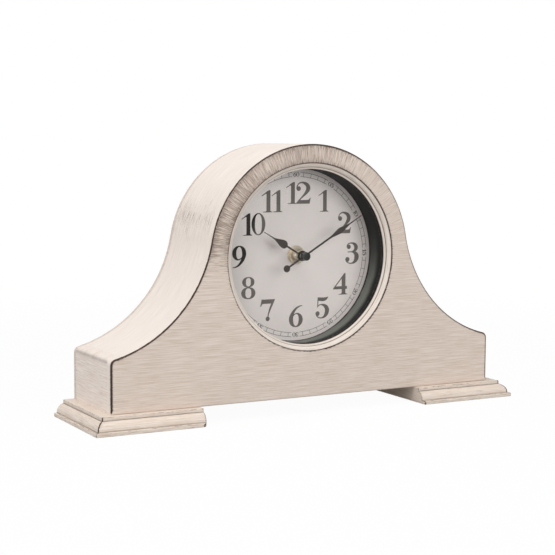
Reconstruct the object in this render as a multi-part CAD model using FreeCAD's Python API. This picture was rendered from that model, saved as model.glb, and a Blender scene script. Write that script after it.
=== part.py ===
"""Tambour mantel clock with a quartz movement: each separate piece is one solid or one group of like solids.

Sizes are in millimetres. X runs to the right as the clock is seen from the front, Y runs from the front to
the back, and Z runs up. While the pieces are made, Y is counted from the front face of the case and Z from
the surface that the feet stand on. The finished pieces are then moved so that the origin lies at the middle
of the clock's footprint.
"""
import FreeCAD, Part
import math
import os

from FreeCAD import Placement, Rotation, Vector

# ---- case outline
DIAL_HOLE_RADIUS = 75.3
ARCH_RIM_WIDTH = 15.3
ARCH_CENTRE_HEIGHT = 126.1
CASE_HALF_WIDTH = 173.4
CASE_DEPTH = 80.0
SWEEP_RADIUS = 109.0
SHOULDER_HEIGHT = 54.4
SHOULDER_ROUND = 5.0
ARRIS_ROUND = 1.2

# ---- boards of the case
FRONT_THICK = 8.0
BACK_THICK = 5.0
BAND_THICK = 4.0
END_THICK = 9.0
BOTTOM_THICK = 9.0
BACK_OPENING_RADIUS = 55.0
GLUE_BLOCK_SIZE = 14.0
GLUE_BLOCK_LENGTH = 32.0
GLUE_BLOCK_BAND_GAP = 3.5
SEAT_GAP = 0.05

# ---- feet
FOOT_HEIGHT = 13.2
FOOT_LENGTH = 91.0
FOOT_SIDE_OVERHANG = 17.1
FOOT_FRONT_OVERHANG = 13.4
FOOT_BACK_INSET = 1.0
MOULD_PROJECTION = 7.7
MOULD_TOP_BAND = 3.0
MOULD_BASE_BAND = 3.1
MOULD_LEDGE = 2.2
MOULD_STEP = 0.8
MOULD_BULGE = 1.4
MOULD_ROUND = 0.7
FOOT_END_ROUND = 2.5

# ---- screws
FOOT_SCREW_SHANK = 1.8
FOOT_SCREW_LENGTH = 17.0
FOOT_SCREW_SPACING = 40.0
BACK_SCREW_SHANK = 1.5
BACK_SCREW_LENGTH = 16.0
PAN_SCREW_SHANK = 1.3
PAN_SCREW_LENGTH = 6.0
PAN_SCREW_COUNT = 4
SCREW_HEAD_TO_SHANK = 2.0
SCREW_SLOT_TO_SHANK = 1.2
SCREW_SLOT_WIDTH = 0.6
SCREW_POINT = 2.0
FOOT_SCREW_BLOCK_GAP = 3.6
BACK_SCREW_END_GAP = 36.0
BACK_SCREW_DROP = 10.0
PAN_SCREW_DIRECTION = 45.0

# ---- bezel, glass, pan and dial
BEZEL_SETBACK = 0.8
BEZEL_BULGE = 0.4
BEZEL_WIDTH = 4.6
BEZEL_LIP_DEPTH = 4.8
BEZEL_STEP_DEPTH = 3.6
BEZEL_STEP_WIDTH = 1.5
GLASS_THICK = 2.0
GLASS_REBATE = 2.4
SHEET_THICK = 0.8
DIAL_FACE_DEPTH = 28.6
DIAL_THICK = 0.6
DIAL_EDGE_GAP = 0.2
FLANGE_BAND_GAP = 1.6

# ---- hands and their fixings
MINUTE_HAND_DEPTH = 13.9
HOUR_HAND_DEPTH = 17.4
HAND_THICK = 0.5
MINUTE_TIP_GAP = 8.2
MINUTE_LEAF_START = 28.0
MINUTE_LEAF_WIDEST = 39.0
MINUTE_LEAF_END = 50.5
MINUTE_LEAF_WIDTH = 4.6
MINUTE_TAIL_LENGTH = 18.8
MINUTE_TAIL_BALL = 2.9
HOUR_HAND_LENGTH = 40.5
HOUR_BULB_CENTRE = 19.6
HOUR_BULB_RADIUS = 3.3
HOUR_NEEDLE_START = 29.5
STEM_WIDTH = 1.5
NEEDLE_WIDTH = 0.5
HOUR_BOSS_RADIUS = 4.3
MINUTE_BOSS_RADIUS = 3.7
MINUTE_HAND_ANGLE = 59.3
HOUR_HAND_ANGLE = -60.0
CAP_RADIUS = 3.45
CAP_HEIGHT = 4.2
CAP_ROUND = 1.0
NUT_ACROSS_FLATS = 12.0
NUT_SIDES = 6
NUT_THICK = 2.4
NUT_CHAMFER = 0.7
WASHER_RADIUS = 7.8
WASHER_THICK = 0.5
RUBBER_THICK = 1.0
RUBBER_RADIUS = 9.0

# ---- arbors that carry the hands
BUSHING_RADIUS = 3.7
BUSHING_DEPTH = 21.9
BUSHING_COLLAR_RADIUS = 5.0
BUSHING_COLLAR_THICK = 0.6
PIPE_RADIUS = 2.5
MINUTE_ARBOR_RADIUS = 1.6
MINUTE_NECK_RADIUS = 1.15
ARBOR_TIP_RADIUS = 1.2
RUNNING_GAP = 0.05
FIXED_GAP = 0.02

# ---- movement shell
MOVEMENT_HALF_WIDTH = 28.0
MOVEMENT_TOP = 22.0
MOVEMENT_BOTTOM = -34.0
MOVEMENT_THICK = 15.5
SHELL_SPLIT = 6.0
SHELL_WALL = 1.2
SHELL_CORNER = 2.0
BAY_TOP = -17.0
BOSS_RADIUS = 1.2
BOSS_GAP = 0.3

# ---- wheels: layers from the front wall backwards
LAYER_START = 0.5
LAYER_PITCH = 1.6
WHEEL_THICK = 0.8
PINION_THICK = 1.2
PIVOT_RADIUS = 0.3
PIVOT_LENGTH = 1.2
ARBOR_RADIUS = 0.45
PIVOT_GAP = 0.03
END_SHAKE = 0.15
WHEEL_TIP = 0.85
WHEEL_ROOT = 1.25
PINION_TIP = 0.8
PINION_ROOT = 1.35
WHEEL_TOOTH_WIDTHS = (0.62, 0.2)
PINION_TOOTH_WIDTHS = (0.36, 0.2)

MOTION_DISTANCE = 6.5
CANNON_TEETH = 12
MOTION_WHEEL_TEETH = 36
MOTION_PINION_TEETH = 10
HOUR_WHEEL_TEETH = 40
KNOB_PINION_TEETH = 12
MOTION_DIRECTION = 90.0

THIRD_DISTANCE = 9.6
THIRD_DIRECTION = 0.0
SECOND_PINION_TEETH = 8
THIRD_WHEEL_TEETH = 60
THIRD_PINION_TEETH = 8
CENTRE_WHEEL_TEETH = 64

INTERMEDIATE_DISTANCE = 9.45
INTERMEDIATE_DIRECTION = 180.0
INTERMEDIATE_PINION_TEETH = 10
SECOND_WHEEL_TEETH = 60

ROTOR_DISTANCE = 9.0
ROTOR_DIRECTION = 200.0
ROTOR_PINION_TEETH = 12
INTERMEDIATE_WHEEL_TEETH = 60

# ---- setting knob
KNOB_RADIUS = 6.5
KNOB_THICK = 3.0
KNOB_GAP = 0.4
KNOB_SHAFT_RADIUS = 1.5
KNOB_GROOVES = 24
KNOB_GROOVE_RADIUS = 0.45

# ---- motor, circuit and battery
MAGNET_RADIUS = 3.0
MAGNET_THICK = 2.4
MAGNET_STATOR_GAP = 0.5
STATOR_THICK = 1.0
STATOR_BLOCK_HALF = 5.0
STATOR_ARM_WIDTH = 3.0
COIL_HEIGHT = 15.5
COIL_LENGTH = 14.5
COIL_RADIUS = 3.6
BOBBIN_RADIUS = 2.2
BOBBIN_FLANGE = 3.9
BOBBIN_FLANGE_THICK = 0.8
CORE_WIDTH = 2.6
BOARD_BOTTOM = -16.4
BOARD_TOP = -9.8
BOARD_HALF_WIDTH = 25.6
BOARD_THICK = 1.0
BOARD_RAIL_WIDTH = 2.0
BOARD_RAIL_HEIGHT = 1.2
CHIP_RADIUS = 2.6
CHIP_HEIGHT = 1.2
CHIP_X = 6.0
CRYSTAL_RADIUS = 1.0
CRYSTAL_LENGTH = 6.0
CRYSTAL_X = 14.0
BATTERY_RADIUS = 7.1
BATTERY_LENGTH = 49.2
BATTERY_NUB_RADIUS = 2.75
BATTERY_NUB_LENGTH = 1.3
BATTERY_ROUND = 0.6
BATTERY_WALL_GAP = 0.4
CONTACT_THICK = 0.3
CONTACT_HALF_WIDTH = 4.0
CONTACT_SPRING_RADIUS = 2.5

CUT_OVERRUN = 1.0

# ---- places that follow from the sizes
ARCH_RADIUS = DIAL_HOLE_RADIUS + ARCH_RIM_WIDTH
BACK_FACE = CASE_DEPTH - BACK_THICK
LIP_RADIUS = DIAL_HOLE_RADIUS - BEZEL_WIDTH
PAN_RADIUS = LIP_RADIUS + SEAT_GAP
GLASS_FACE = FRONT_THICK - GLASS_THICK
GLASS_RADIUS = LIP_RADIUS + GLASS_REBATE
FLANGE_RADIUS = ARCH_RADIUS - BAND_THICK - FLANGE_BAND_GAP
PAN_FLOOR = DIAL_FACE_DEPTH + DIAL_THICK
MOVEMENT_FRONT = PAN_FLOOR + SHEET_THICK + RUBBER_THICK
MOVEMENT_BACK = MOVEMENT_FRONT + MOVEMENT_THICK
INNER_FRONT = MOVEMENT_FRONT + SHELL_WALL
INNER_BACK = MOVEMENT_BACK - SHELL_WALL
SPLIT_DEPTH = MOVEMENT_FRONT + SHELL_SPLIT
PIPE_BORE = MINUTE_ARBOR_RADIUS + RUNNING_GAP
BUSHING_BORE = PIPE_RADIUS + RUNNING_GAP
HAND_BACK = MINUTE_HAND_DEPTH + HAND_THICK
ORIGIN_DEPTH = (CASE_DEPTH - FOOT_FRONT_OVERHANG) / 2
HAND_AXIS = Vector(0, 0, ARCH_CENTRE_HEIGHT)
BACKWARDS = Vector(0, 1, 0)


# ---------------------------------------------------------------- simple shapes
def block(x_range, y_range, z_range):
    """A square-edged block between the given limits."""
    size = [limits[1] - limits[0] for limits in (x_range, y_range, z_range)]
    return Part.makeBox(size[0], size[1], size[2], Vector(x_range[0], y_range[0], z_range[0]))


def rod(radius, start, end, x=0.0, z=0.0):
    """A round bar along the depth, from one depth to another."""
    return Part.makeCylinder(radius, end - start, Vector(x, start, z), BACKWARDS)


def tube(outer, inner, start, end, x=0.0, z=0.0):
    """A round bar along the depth with a hole through it."""
    return rod(outer, start, end, x, z).cut(rod(inner, start - CUT_OVERRUN, end + CUT_OVERRUN, x, z))


def side_rod(radius, start, end, y, z):
    """A round bar from left to right."""
    return Part.makeCylinder(radius, end - start, Vector(start, y, z), Vector(1, 0, 0))


def line(start, end):
    """A straight edge."""
    return Part.LineSegment(start, end).toShape()


def arc(start, middle, end):
    """A round edge through three points."""
    return Part.Arc(start, middle, end).toShape()


def bulged(start, end, bulge, side):
    """A round edge between two points that stands off their chord by bulge, towards side."""
    middle = (start + end) * 0.5
    return arc(start, middle + Vector(side).normalize() * bulge, end)


def prism(edges, direction):
    """The solid that a closed chain of edges sweeps along a direction."""
    return Part.Face(Part.Wire(edges)).extrude(direction)


def joined(shapes):
    """One solid made of several that touch or overlap."""
    return shapes[0].multiFuse(shapes[1:]).removeSplitter()


def turned_profile(points):
    """A ring or round piece: a closed outline of (radius, depth) points turned about the depth axis."""
    corners = [Vector(radius, depth, 0) for radius, depth in points]
    face = Part.Face(Part.makePolygon(corners + [corners[0]]))
    return face.revolve(Vector(0, 0, 0), BACKWARDS, 360)


def at_hand_axis(shape):
    """Moves a piece made about the depth axis up to the axis that the hands turn on."""
    shape.translate(HAND_AXIS)
    return shape


def polar(distance, degrees):
    """The (x, z) place at a distance and a direction, counted from +X towards +Z."""
    angle = math.radians(degrees)
    return distance * math.cos(angle), distance * math.sin(angle)


# ---------------------------------------------------------------- case outline
def sweep_centre():
    """Centre of the right sweep, which touches the arch and passes through the shoulder corner."""
    across = CASE_HALF_WIDTH
    down = SHOULDER_HEIGHT - ARCH_CENTRE_HEIGHT
    span = math.hypot(across, down)
    reach = ARCH_RADIUS + SWEEP_RADIUS
    along = (reach ** 2 - SWEEP_RADIUS ** 2 + span ** 2) / (2 * span)
    aside = math.sqrt(reach ** 2 - along ** 2)
    x = (along * across - aside * down) / span
    z = ARCH_CENTRE_HEIGHT + (along * down + aside * across) / span
    return x, z


def sweep_height(x, inset):
    """Height of the sweep's surface at a distance x from the middle, moved in by inset."""
    centre_x, centre_z = sweep_centre()
    return centre_z - math.sqrt((SWEEP_RADIUS + inset) ** 2 - (centre_x - x) ** 2)


def meeting_point(inset):
    """Where the arch runs into the right sweep, both moved in by inset."""
    centre_x, centre_z = sweep_centre()
    rise = centre_z - ARCH_CENTRE_HEIGHT
    share = (ARCH_RADIUS - inset) / math.hypot(centre_x, rise)
    return centre_x * share, ARCH_CENTRE_HEIGHT + rise * share


def sweep_arc(end_x, end_z, inset):
    """The three points of the right sweep, from the arch down to its given end."""
    centre_x, centre_z = sweep_centre()
    start_x, start_z = meeting_point(inset)
    radius = SWEEP_RADIUS + inset
    middle_x = (start_x + end_x) / 2 - centre_x
    middle_z = (start_z + end_z) / 2 - centre_z
    stretch = radius / math.hypot(middle_x, middle_z)
    middle = (centre_x + middle_x * stretch, centre_z + middle_z * stretch)
    return (start_x, start_z), middle, (end_x, end_z)


def crest_edges(end_x, end_z, inset, depth):
    """Left sweep, arch and right sweep as one chain, from the left end to the right end."""
    points = sweep_arc(end_x, end_z, inset)
    right = [Vector(x, depth, z) for x, z in points]
    left = [Vector(-x, depth, z) for x, z in points]
    top = Vector(0, depth, ARCH_CENTRE_HEIGHT + ARCH_RADIUS - inset)
    return [arc(left[2], left[1], left[0]), arc(left[0], top, right[0]), arc(right[0], right[1], right[2])]


def shoulder_points():
    """The rounded right shoulder: its end on the sweep, its middle and its end on the upright side."""
    centre_x, centre_z = sweep_centre()
    round_x = CASE_HALF_WIDTH - SHOULDER_ROUND
    reach = SWEEP_RADIUS + SHOULDER_ROUND
    round_z = centre_z - math.sqrt(reach ** 2 - (centre_x - round_x) ** 2)
    towards_x = (centre_x - round_x) / reach
    towards_z = (centre_z - round_z) / reach
    middle_length = math.hypot(towards_x + 1, towards_z)
    on_sweep = (round_x + towards_x * SHOULDER_ROUND, round_z + towards_z * SHOULDER_ROUND)
    middle_x = round_x + (towards_x + 1) / middle_length * SHOULDER_ROUND
    middle_z = round_z + towards_z / middle_length * SHOULDER_ROUND
    return on_sweep, (middle_x, middle_z), (CASE_HALF_WIDTH, round_z)


def outline_solid(start, end):
    """The whole outline of the case as a solid between two depths."""
    on_sweep, middle, on_side = shoulder_points()
    right = [Vector(x, start, z) for x, z in (on_sweep, middle, on_side)]
    left = [Vector(-x, start, z) for x, z in (on_sweep, middle, on_side)]
    low_right = Vector(CASE_HALF_WIDTH, start, FOOT_HEIGHT)
    low_left = Vector(-CASE_HALF_WIDTH, start, FOOT_HEIGHT)
    edges = crest_edges(on_sweep[0], on_sweep[1], 0.0, start)
    edges += [arc(right[0], right[1], right[2]), line(right[2], low_right), line(low_right, low_left)]
    edges += [line(low_left, left[2]), arc(left[2], left[1], left[0])]
    return prism(edges, Vector(0, end - start, 0))


def eased(solid, depth):
    """Rounds the arris of a board all along its face at a depth."""
    box_edges = [(edge, edge.BoundBox) for edge in solid.Edges]
    face_edges = [edge for edge, box in box_edges if abs(box.YMin - depth) + abs(box.YMax - depth) < SEAT_GAP]
    return solid.makeFillet(ARRIS_ROUND, face_edges)


# ---------------------------------------------------------------- screws
def screw(shank, length, margin=0.0):
    """A countersunk wood screw along +Z, its head's top at the origin and its point at +length.

    A margin makes it larger all round, which is the hole that the screw sits in.
    """
    head = SCREW_HEAD_TO_SHANK * shank + margin
    radius = shank + margin
    outline = [(0, -margin), (head, -margin), (head, 0), (radius, shank)]
    outline += [(radius, length - SCREW_POINT), (0, length + margin)]
    corners = [Vector(across, 0, along) for across, along in outline]
    face = Part.Face(Part.makePolygon(corners + [corners[0]]))
    solid = face.revolve(Vector(0, 0, 0), Vector(0, 0, 1), 360)
    if margin:
        return solid
    return solid.cut(cross_slot(shank))


def cross_slot(shank):
    """The cross that a screwdriver turns, cut into the head of a screw."""
    half = SCREW_SLOT_WIDTH / 2
    reach = SCREW_SLOT_TO_SHANK * shank
    depth = (-CUT_OVERRUN, shank / 2)
    return block((-reach, reach), (-half, half), depth).fuse(block((-half, half), (-reach, reach), depth))


def placed(shape, place, direction):
    """Turns a piece made along +Z to a direction and moves it to its place."""
    copy = shape.copy()
    copy.Placement = Placement(place, Rotation(Vector(0, 0, 1), direction))
    return copy


def foot_screw_places():
    """The screws that hold the feet, two in each, driven down through the bottom board."""
    middle_x = CASE_HALF_WIDTH - END_THICK - GLUE_BLOCK_SIZE - FOOT_SCREW_BLOCK_GAP
    middle_y = CASE_DEPTH / 2
    half = FOOT_SCREW_SPACING / 2
    height = FOOT_HEIGHT + BOTTOM_THICK
    return [Vector(side * middle_x, middle_y + step, height) for side in (-1, 1) for step in (-half, half)]


def back_screw_places():
    """The screws of the back panel: three along the bottom board and one in each upright end."""
    low = FOOT_HEIGHT + BOTTOM_THICK / 2
    side = CASE_HALF_WIDTH - END_THICK / 2
    spread = CASE_HALF_WIDTH - BACK_SCREW_END_GAP
    high = SHOULDER_HEIGHT - BACK_SCREW_DROP
    places = [Vector(x, CASE_DEPTH, low) for x in (-spread, 0, spread)]
    return places + [Vector(x, CASE_DEPTH, high) for x in (-side, side)]


def pan_screw_places():
    """The screws that hold the flange of the dial pan to the back of the front panel."""
    radius = (DIAL_HOLE_RADIUS + FLANGE_RADIUS) / 2
    places = []
    for number in range(PAN_SCREW_COUNT):
        x, z = polar(radius, PAN_SCREW_DIRECTION + number * 360 / PAN_SCREW_COUNT)
        places.append(Vector(x, FRONT_THICK + SHEET_THICK, ARCH_CENTRE_HEIGHT + z))
    return places


def foot_screws(margin=0.0):
    """The four screws of the feet, pointing down."""
    one = screw(FOOT_SCREW_SHANK, FOOT_SCREW_LENGTH, margin)
    return Part.Compound([placed(one, place, Vector(0, 0, -1)) for place in foot_screw_places()])


def back_screws(margin=0.0):
    """The screws of the back panel, pointing forwards."""
    one = screw(BACK_SCREW_SHANK, BACK_SCREW_LENGTH, margin)
    return Part.Compound([placed(one, place, Vector(0, -1, 0)) for place in back_screw_places()])


def pan_screws(margin=0.0):
    """The screws of the dial pan, pointing forwards, with their heads proud of the thin flange."""
    one = screw(PAN_SCREW_SHANK, PAN_SCREW_LENGTH, margin)
    proud = Vector(0, PAN_SCREW_SHANK - SHEET_THICK, 0)
    return Part.Compound([placed(one, place + proud, Vector(0, -1, 0)) for place in pan_screw_places()])


# ---------------------------------------------------------------- case boards
def front_panel():
    """The front board: the full outline with its arris eased and the round hole for the dial."""
    board = eased(outline_solid(0.0, FRONT_THICK), 0.0)
    hole = at_hand_axis(rod(DIAL_HOLE_RADIUS, -CUT_OVERRUN, FRONT_THICK + CUT_OVERRUN))
    return board.cut(hole).cut(pan_screws(SEAT_GAP))


def back_panel():
    """The back board: the full outline with the round opening that a hand reaches the movement through."""
    board = eased(outline_solid(BACK_FACE, CASE_DEPTH), CASE_DEPTH)
    opening = at_hand_axis(rod(BACK_OPENING_RADIUS, BACK_FACE - CUT_OVERRUN, CASE_DEPTH + CUT_OVERRUN))
    return board.cut(opening).cut(back_screws(SEAT_GAP))


def top_band():
    """The bent strip over the sweeps and the arch, between the two end boards."""
    end_x = CASE_HALF_WIDTH - END_THICK
    outer = crest_edges(end_x, sweep_height(end_x, 0.0), 0.0, FRONT_THICK)
    inner = crest_edges(end_x, sweep_height(end_x, BAND_THICK), BAND_THICK, FRONT_THICK)
    ends = []
    for side in (-1, 1):
        top = Vector(side * end_x, FRONT_THICK, sweep_height(end_x, 0.0))
        low = Vector(side * end_x, FRONT_THICK, sweep_height(end_x, BAND_THICK))
        ends.append(line(top, low))
    wire = Part.Wire(Part.__sortEdges__(outer + inner + ends))
    return Part.Face(wire).extrude(Vector(0, BACK_FACE - FRONT_THICK, 0))


def end_board(side):
    """An upright end of the case with the rounded shoulder at its top."""
    limits = sorted((side * (CASE_HALF_WIDTH - END_THICK), side * CASE_HALF_WIDTH))
    slab = block(limits, (FRONT_THICK, BACK_FACE), (0, ARCH_CENTRE_HEIGHT))
    return outline_solid(FRONT_THICK, BACK_FACE).common(slab).cut(back_screws(SEAT_GAP))


def bottom_board():
    """The bottom of the case, between the two ends, drilled for the screws of the feet."""
    half = CASE_HALF_WIDTH - END_THICK
    height = (FOOT_HEIGHT, FOOT_HEIGHT + BOTTOM_THICK)
    board = block((-half, half), (FRONT_THICK, BACK_FACE), height)
    return board.cut(foot_screws(SEAT_GAP)).cut(back_screws(SEAT_GAP))


def glue_blocks():
    """Square blocks glued upright into the four inner corners, on the bottom board."""
    inner_x = CASE_HALF_WIDTH - END_THICK
    floor = FOOT_HEIGHT + BOTTOM_THICK
    height = min(GLUE_BLOCK_LENGTH, sweep_height(inner_x, BAND_THICK) - floor - GLUE_BLOCK_BAND_GAP)
    blocks = []
    for side in (-1, 1):
        x_range = sorted((side * inner_x, side * (inner_x - GLUE_BLOCK_SIZE)))
        for start in (FRONT_THICK, BACK_FACE - GLUE_BLOCK_SIZE):
            blocks.append(block(x_range, (start, start + GLUE_BLOCK_SIZE), (floor, floor + height)))
    return Part.Compound(blocks)


# ---------------------------------------------------------------- feet
def moulding_edges(place):
    """The moulded edge of a foot, from the floor up: base band, ledge, quarter round, step and top band.

    place turns (inset, height) into a point, where inset is counted from the outermost face inwards.
    """
    soft = MOULD_ROUND * (1 - math.sqrt(0.5))
    swell_top = FOOT_HEIGHT - MOULD_TOP_BAND
    swell_inset = MOULD_PROJECTION - MOULD_STEP
    outwards = place(0, 1) - place(1, 0)
    crown = FOOT_HEIGHT - MOULD_ROUND
    shore = MOULD_BASE_BAND - MOULD_ROUND
    return [
        line(place(0, 0), place(0, shore)),
        arc(place(0, shore), place(soft, MOULD_BASE_BAND - soft), place(MOULD_ROUND, MOULD_BASE_BAND)),
        line(place(MOULD_ROUND, MOULD_BASE_BAND), place(MOULD_LEDGE, MOULD_BASE_BAND)),
        bulged(place(MOULD_LEDGE, MOULD_BASE_BAND), place(swell_inset, swell_top), MOULD_BULGE, outwards),
        line(place(swell_inset, swell_top), place(MOULD_PROJECTION, swell_top)),
        line(place(MOULD_PROJECTION, swell_top), place(MOULD_PROJECTION, crown)),
        arc(place(MOULD_PROJECTION, crown), place(MOULD_PROJECTION + soft, FOOT_HEIGHT - soft),
            place(MOULD_PROJECTION + MOULD_ROUND, FOOT_HEIGHT)),
    ]


def foot_from_side():
    """The foot's outline as the side shows it: moulded at the front, flat at the back."""
    back = CASE_DEPTH - FOOT_BACK_INSET
    outer = CASE_HALF_WIDTH + FOOT_SIDE_OVERHANG
    inner = outer - FOOT_LENGTH

    def place(inset, height):
        return Vector(inner, inset - FOOT_FRONT_OVERHANG, height)

    edges = moulding_edges(place)
    top_back = Vector(inner, back, FOOT_HEIGHT)
    low_back = Vector(inner, back, 0)
    edges += [line(place(MOULD_PROJECTION + MOULD_ROUND, FOOT_HEIGHT), top_back)]
    edges += [line(top_back, low_back), line(low_back, place(0, 0))]
    return prism(edges, Vector(FOOT_LENGTH, 0, 0))


def foot_from_front():
    """The foot's outline as the front shows it: moulded at the outer end, soft at the inner corner."""
    outer = CASE_HALF_WIDTH + FOOT_SIDE_OVERHANG
    inner = outer - FOOT_LENGTH
    reach = CASE_DEPTH + FOOT_FRONT_OVERHANG
    soft = FOOT_END_ROUND * (1 - math.sqrt(0.5))

    def place(inset, height):
        return Vector(outer - inset, -FOOT_FRONT_OVERHANG, height)

    def inner_place(inset, height):
        return Vector(inner + inset, -FOOT_FRONT_OVERHANG, height)

    edges = moulding_edges(place)
    edges += [line(place(MOULD_PROJECTION + MOULD_ROUND, FOOT_HEIGHT), inner_place(0, FOOT_HEIGHT))]
    edges += [line(inner_place(0, FOOT_HEIGHT), inner_place(0, FOOT_END_ROUND))]
    edges += [arc(inner_place(0, FOOT_END_ROUND), inner_place(soft, soft), inner_place(FOOT_END_ROUND, 0))]
    edges += [line(inner_place(FOOT_END_ROUND, 0), place(0, 0))]
    return prism(edges, Vector(0, reach, 0))


def foot_from_above():
    """The foot's outline as the top shows it: the inner front corner is rounded off."""
    outer = CASE_HALF_WIDTH + FOOT_SIDE_OVERHANG
    inner = outer - FOOT_LENGTH
    front = -FOOT_FRONT_OVERHANG
    soft = FOOT_END_ROUND * (1 - math.sqrt(0.5))
    corners = [Vector(inner + FOOT_END_ROUND, front, 0), Vector(outer, front, 0)]
    corners += [Vector(outer, CASE_DEPTH, 0), Vector(inner, CASE_DEPTH, 0)]
    corners += [Vector(inner, front + FOOT_END_ROUND, 0)]
    edges = [line(corners[number], corners[number + 1]) for number in range(len(corners) - 1)]
    edges += [arc(corners[-1], Vector(inner + soft, front + soft, 0), corners[0])]
    return prism(edges, Vector(0, 0, FOOT_HEIGHT))


def right_foot():
    """The right foot: the three outlines have only this block in common, so its corner is mitred."""
    return foot_from_side().common(foot_from_front()).common(foot_from_above()).cut(foot_screws(SEAT_GAP))


def left_foot():
    """The left foot, a mirror image of the right one."""
    block_shape = foot_from_side().common(foot_from_front()).common(foot_from_above())
    return block_shape.mirror(Vector(0, 0, 0), Vector(1, 0, 0)).cut(foot_screws(SEAT_GAP))


# ---------------------------------------------------------------- dial side
def bezel_ring():
    """The ring in the hole: a soft convex face, a fine step, the inner lip and a rebate for the glass."""
    outer = DIAL_HOLE_RADIUS - SEAT_GAP
    step = LIP_RADIUS + BEZEL_STEP_WIDTH
    seat = GLASS_RADIUS + SEAT_GAP
    face_start = Vector(outer, BEZEL_SETBACK, 0)
    face_end = Vector(step, BEZEL_STEP_DEPTH, 0)
    corners = [face_end, Vector(step, BEZEL_STEP_DEPTH + SHEET_THICK / 2, 0)]
    corners += [Vector(LIP_RADIUS, BEZEL_LIP_DEPTH, 0), Vector(LIP_RADIUS, GLASS_FACE, 0)]
    corners += [Vector(seat, GLASS_FACE, 0), Vector(seat, FRONT_THICK, 0)]
    corners += [Vector(outer, FRONT_THICK, 0), face_start]
    edges = [line(corners[number], corners[number + 1]) for number in range(len(corners) - 1)]
    edges += [bulged(face_start, face_end, BEZEL_BULGE, Vector(-1, -1, 0))]
    face = Part.Face(Part.Wire(edges))
    return at_hand_axis(face.revolve(Vector(0, 0, 0), BACKWARDS, 360))


def dial_glass():
    """The flat glass behind the lip of the bezel."""
    return at_hand_axis(rod(GLASS_RADIUS, GLASS_FACE, FRONT_THICK))


def dial_pan():
    """The black pan: a flange on the back of the front panel, a round wall and a floor with one hole."""
    hole = BUSHING_RADIUS + RUNNING_GAP
    outer = PAN_RADIUS + SHEET_THICK
    back = PAN_FLOOR + SHEET_THICK
    flange_back = FRONT_THICK + SHEET_THICK
    outline = [(PAN_RADIUS, FRONT_THICK), (FLANGE_RADIUS, FRONT_THICK), (FLANGE_RADIUS, flange_back)]
    outline += [(outer, flange_back), (outer, back), (hole, back)]
    outline += [(hole, PAN_FLOOR), (PAN_RADIUS, PAN_FLOOR)]
    return at_hand_axis(turned_profile(outline)).cut(pan_screws(SEAT_GAP))


def dial_plate():
    """The printed dial, a thin round plate on the floor of the pan."""
    radius = PAN_RADIUS - DIAL_EDGE_GAP
    return at_hand_axis(tube(radius, BUSHING_RADIUS + RUNNING_GAP, DIAL_FACE_DEPTH, PAN_FLOOR))


# ---------------------------------------------------------------- hands
def hand_blade(outline, depth):
    """A flat hand pointing to twelve, from the right half of its outline, which is mirrored."""
    right = [Vector(across, depth, along) for across, along in outline]
    left = [Vector(-across, depth, along) for across, along in reversed(outline)]
    points = right + left
    return Part.Face(Part.makePolygon(points + [points[0]])).extrude(Vector(0, HAND_THICK, 0))


def at_time(shape, degrees):
    """Turns a piece clockwise, as seen from the front, and moves it up to the axis of the hands."""
    shape.rotate(Vector(0, 0, 0), BACKWARDS, degrees)
    return at_hand_axis(shape)


def minute_hand():
    """The long hand: a slim leaf that ends in a needle, a boss on the arbor and a tail with a disc."""
    tip = PAN_RADIUS - MINUTE_TIP_GAP
    stem = STEM_WIDTH / 2
    leaf = MINUTE_LEAF_WIDTH / 2
    outline = [(stem, -MINUTE_TAIL_LENGTH), (stem, MINUTE_LEAF_START), (leaf, MINUTE_LEAF_WIDEST)]
    outline += [(NEEDLE_WIDTH, MINUTE_LEAF_END), (NEEDLE_WIDTH / 2, tip)]
    blade = hand_blade(outline, MINUTE_HAND_DEPTH)
    boss = rod(MINUTE_BOSS_RADIUS, MINUTE_HAND_DEPTH, HAND_BACK)
    disc = rod(MINUTE_TAIL_BALL, MINUTE_HAND_DEPTH, HAND_BACK, 0, -MINUTE_TAIL_LENGTH)
    hand = joined([blade, boss, disc])
    bore = rod(ARBOR_TIP_RADIUS + FIXED_GAP, MINUTE_HAND_DEPTH - CUT_OVERRUN, HAND_BACK + CUT_OVERRUN)
    return at_time(hand.cut(bore), MINUTE_HAND_ANGLE)


def hour_hand():
    """The short hand: a round bulb drawn out to a point, on a thin stem and a boss."""
    stem = STEM_WIDTH / 2
    tangent = math.sqrt(0.5) * HOUR_BULB_RADIUS
    outline = [(stem, 0), (stem, HOUR_BULB_CENTRE), (HOUR_BULB_RADIUS, HOUR_BULB_CENTRE)]
    outline += [(tangent, HOUR_BULB_CENTRE + 2 * HOUR_BULB_RADIUS - tangent)]
    outline += [(NEEDLE_WIDTH, HOUR_NEEDLE_START), (NEEDLE_WIDTH / 2, HOUR_HAND_LENGTH)]
    back = HOUR_HAND_DEPTH + HAND_THICK
    blade = hand_blade(outline, HOUR_HAND_DEPTH)
    boss = rod(HOUR_BOSS_RADIUS, HOUR_HAND_DEPTH, back)
    bulb = rod(HOUR_BULB_RADIUS, HOUR_HAND_DEPTH, back, 0, HOUR_BULB_CENTRE)
    hand = joined([blade, boss, bulb])
    bore = rod(PIPE_RADIUS + FIXED_GAP, HOUR_HAND_DEPTH - CUT_OVERRUN, back + CUT_OVERRUN)
    return at_time(hand.cut(bore), HOUR_HAND_ANGLE)


def cap_nut():
    """The round black nut with a closed, softly rounded front that holds the minute hand."""
    front = MINUTE_HAND_DEPTH - CAP_HEIGHT
    cap = rod(CAP_RADIUS, front, MINUTE_HAND_DEPTH)
    rim = [edge for edge in cap.Edges if abs(edge.BoundBox.YMax - front) < SEAT_GAP]
    bore = rod(ARBOR_TIP_RADIUS + FIXED_GAP, front + CAP_ROUND, MINUTE_HAND_DEPTH + CUT_OVERRUN)
    return at_hand_axis(cap.makeFillet(CAP_ROUND, rim).cut(bore))


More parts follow.
